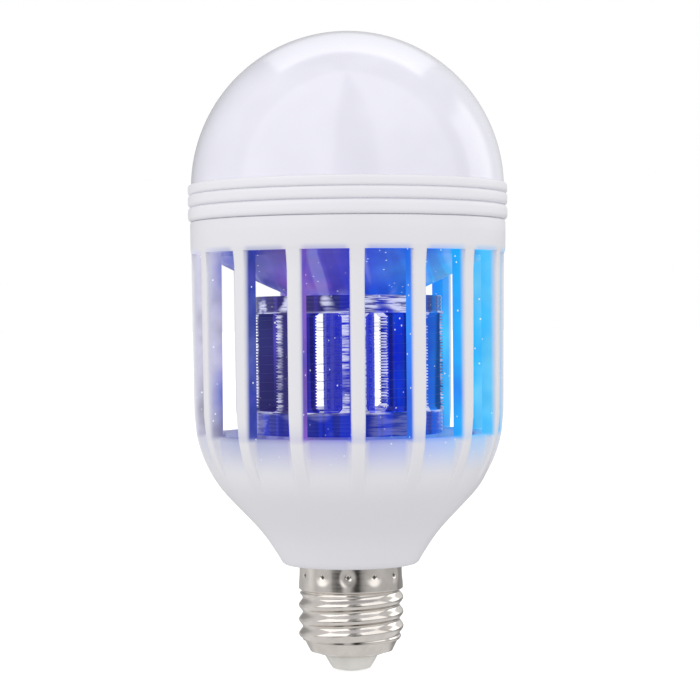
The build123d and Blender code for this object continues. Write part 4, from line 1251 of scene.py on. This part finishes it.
# One more upright box: where it starts and ends in degrees and in the sine of its height, and its strength
STRIP_DEGREES, STRIP_HEIGHTS, STRIP_LEVEL = (98, 103, 126, 138), (0.0, 0.06, 0.5, 0.6), 1.0
# The even light that shades the lamp, by the sine of its height
EVEN_LIGHT = ((-1.0, 0.62), (-0.5, 0.74), (-0.15, 0.9), (0.1, 1.16), (0.5, 1.16), (0.75, 0.95), (1.0, 0.9))
# The soft box overhead, by half of how far it lies behind the lamp for each unit of height, and its two sides
OVERHEAD = (
    (0.19, 0.0), (0.235, 1.5), (0.3, 1.05), (0.4, 0.75), (0.6, 0.5), (0.8, 0.36), (0.92, 0.25), (1.0, 0.0),
)
OVERHEAD_SIDES = (-0.6, -0.54, 0.62, 0.68)
FLOOR_MIRROR = 0.78


def make_studio():
    """White backdrop, an even light with more from the left, and soft boxes that only the gloss mirrors."""
    world = bpy.data.worlds.new("studio")
    bpy.context.scene.world = world
    studio = Nodes(world, "Generated")
    x, y, z = studio.split(studio.facing())
    azimuth = studio.math("ARCTAN2", x, studio.times(y, -1.0))
    share = studio.times_add(azimuth, 0.5 / pi, 0.5)
    upper, lower = (
        studio.levels(share, [((degree + 180) / 360, level) for degree, level in boxes])
        for boxes in (UPPER_BOXES, LOWER_BOXES)
    )
    strip = studio.band(studio.times(azimuth, 180 / pi), *STRIP_DEGREES)
    strip = studio.times(strip, studio.band(z, *STRIP_HEIGHTS))
    upper = studio.times_add(strip, STRIP_LEVEL, upper)
    lower = studio.between(studio.ramp_to(z, -0.5, -0.3), FLOOR_MIRROR, lower)
    mirrored = studio.between(studio.ramp_to(z, -0.04, 0.1), lower, upper)
    height = studio.math("MAXIMUM", z, 0.01)
    overhead = studio.levels(studio.times(studio.math("DIVIDE", y, height), 0.5), OVERHEAD)
    side = studio.math("DIVIDE", x, height)
    mirrored = studio.times_add(studio.band(side, *OVERHEAD_SIDES), overhead, mirrored)
    even_stops = [((sine + 1) / 2, level) for sine, level in EVEN_LIGHT]
    even = studio.levels(studio.times_add(z, 0.5, 0.5), even_stops)
    even = studio.times(even, studio.times_add(x, -0.05, 1.03))
    rays = studio.node("ShaderNodeLightPath").outputs
    white = (1.0, 1.0, 1.0, 1.0)
    strength = studio.between(rays["Is Glossy Ray"], even, mirrored)
    lamp_light = studio.fill("ShaderNodeBackground", white, strength)
    backdrop = studio.fill("ShaderNodeBackground", white)
    blend = studio.fill("ShaderNodeMixShader", rays["Is Camera Ray"], lamp_light, backdrop)
    studio.put(studio.node("ShaderNodeOutputWorld").inputs["Surface"], blend)
    bpy.context.scene.view_settings.view_transform = "Standard"
    bpy.context.scene.view_settings.look = "None"


class LAMP_PT_panel(bpy.types.Panel):
    """Lists the lamp's operators and values"""

    bl_idname = "LAMP_PT_panel"
    bl_label = "Insect killer light bulb"
    bl_space_type = "VIEW_3D"
    bl_region_type = "UI"
    bl_category = "Lamp"

    def draw(self, context):
        for operator in OPERATORS:
            self.layout.operator(operator.bl_idname)
        for group in (context.scene.lamp_sizes, context.scene.lamp_colours):
            for name in group.bl_rna.properties.keys():
                if name not in ("rna_type", "name"):
                    self.layout.prop(group, name)


OPERATORS = (
    LAMP_OT_stage,
    LAMP_OT_dome,
    LAMP_OT_collar,
    LAMP_OT_cage,
    LAMP_OT_ceiling,
    LAMP_OT_former,
    LAMP_OT_coils,
    LAMP_OT_cap,
    LAMP_OT_insulator,
    LAMP_OT_finishes,
)
CLASSES = (LampSizes, LampColours) + OPERATORS + (LAMP_PT_panel,)


def register():
    for item in CLASSES:
        bpy.utils.register_class(item)
    bpy.types.Scene.lamp_sizes = bpy.props.PointerProperty(type=LampSizes)
    bpy.types.Scene.lamp_colours = bpy.props.PointerProperty(type=LampColours)


def unregister():
    del bpy.types.Scene.lamp_colours
    del bpy.types.Scene.lamp_sizes
    for item in reversed(CLASSES):
        bpy.utils.unregister_class(item)


def main():
    """Build every piece in order."""
    register()
    for operator in OPERATORS:
        group, action = operator.bl_idname.split(".")
        getattr(getattr(bpy.ops, group), action)()


if __name__ == "__main__":
    main()
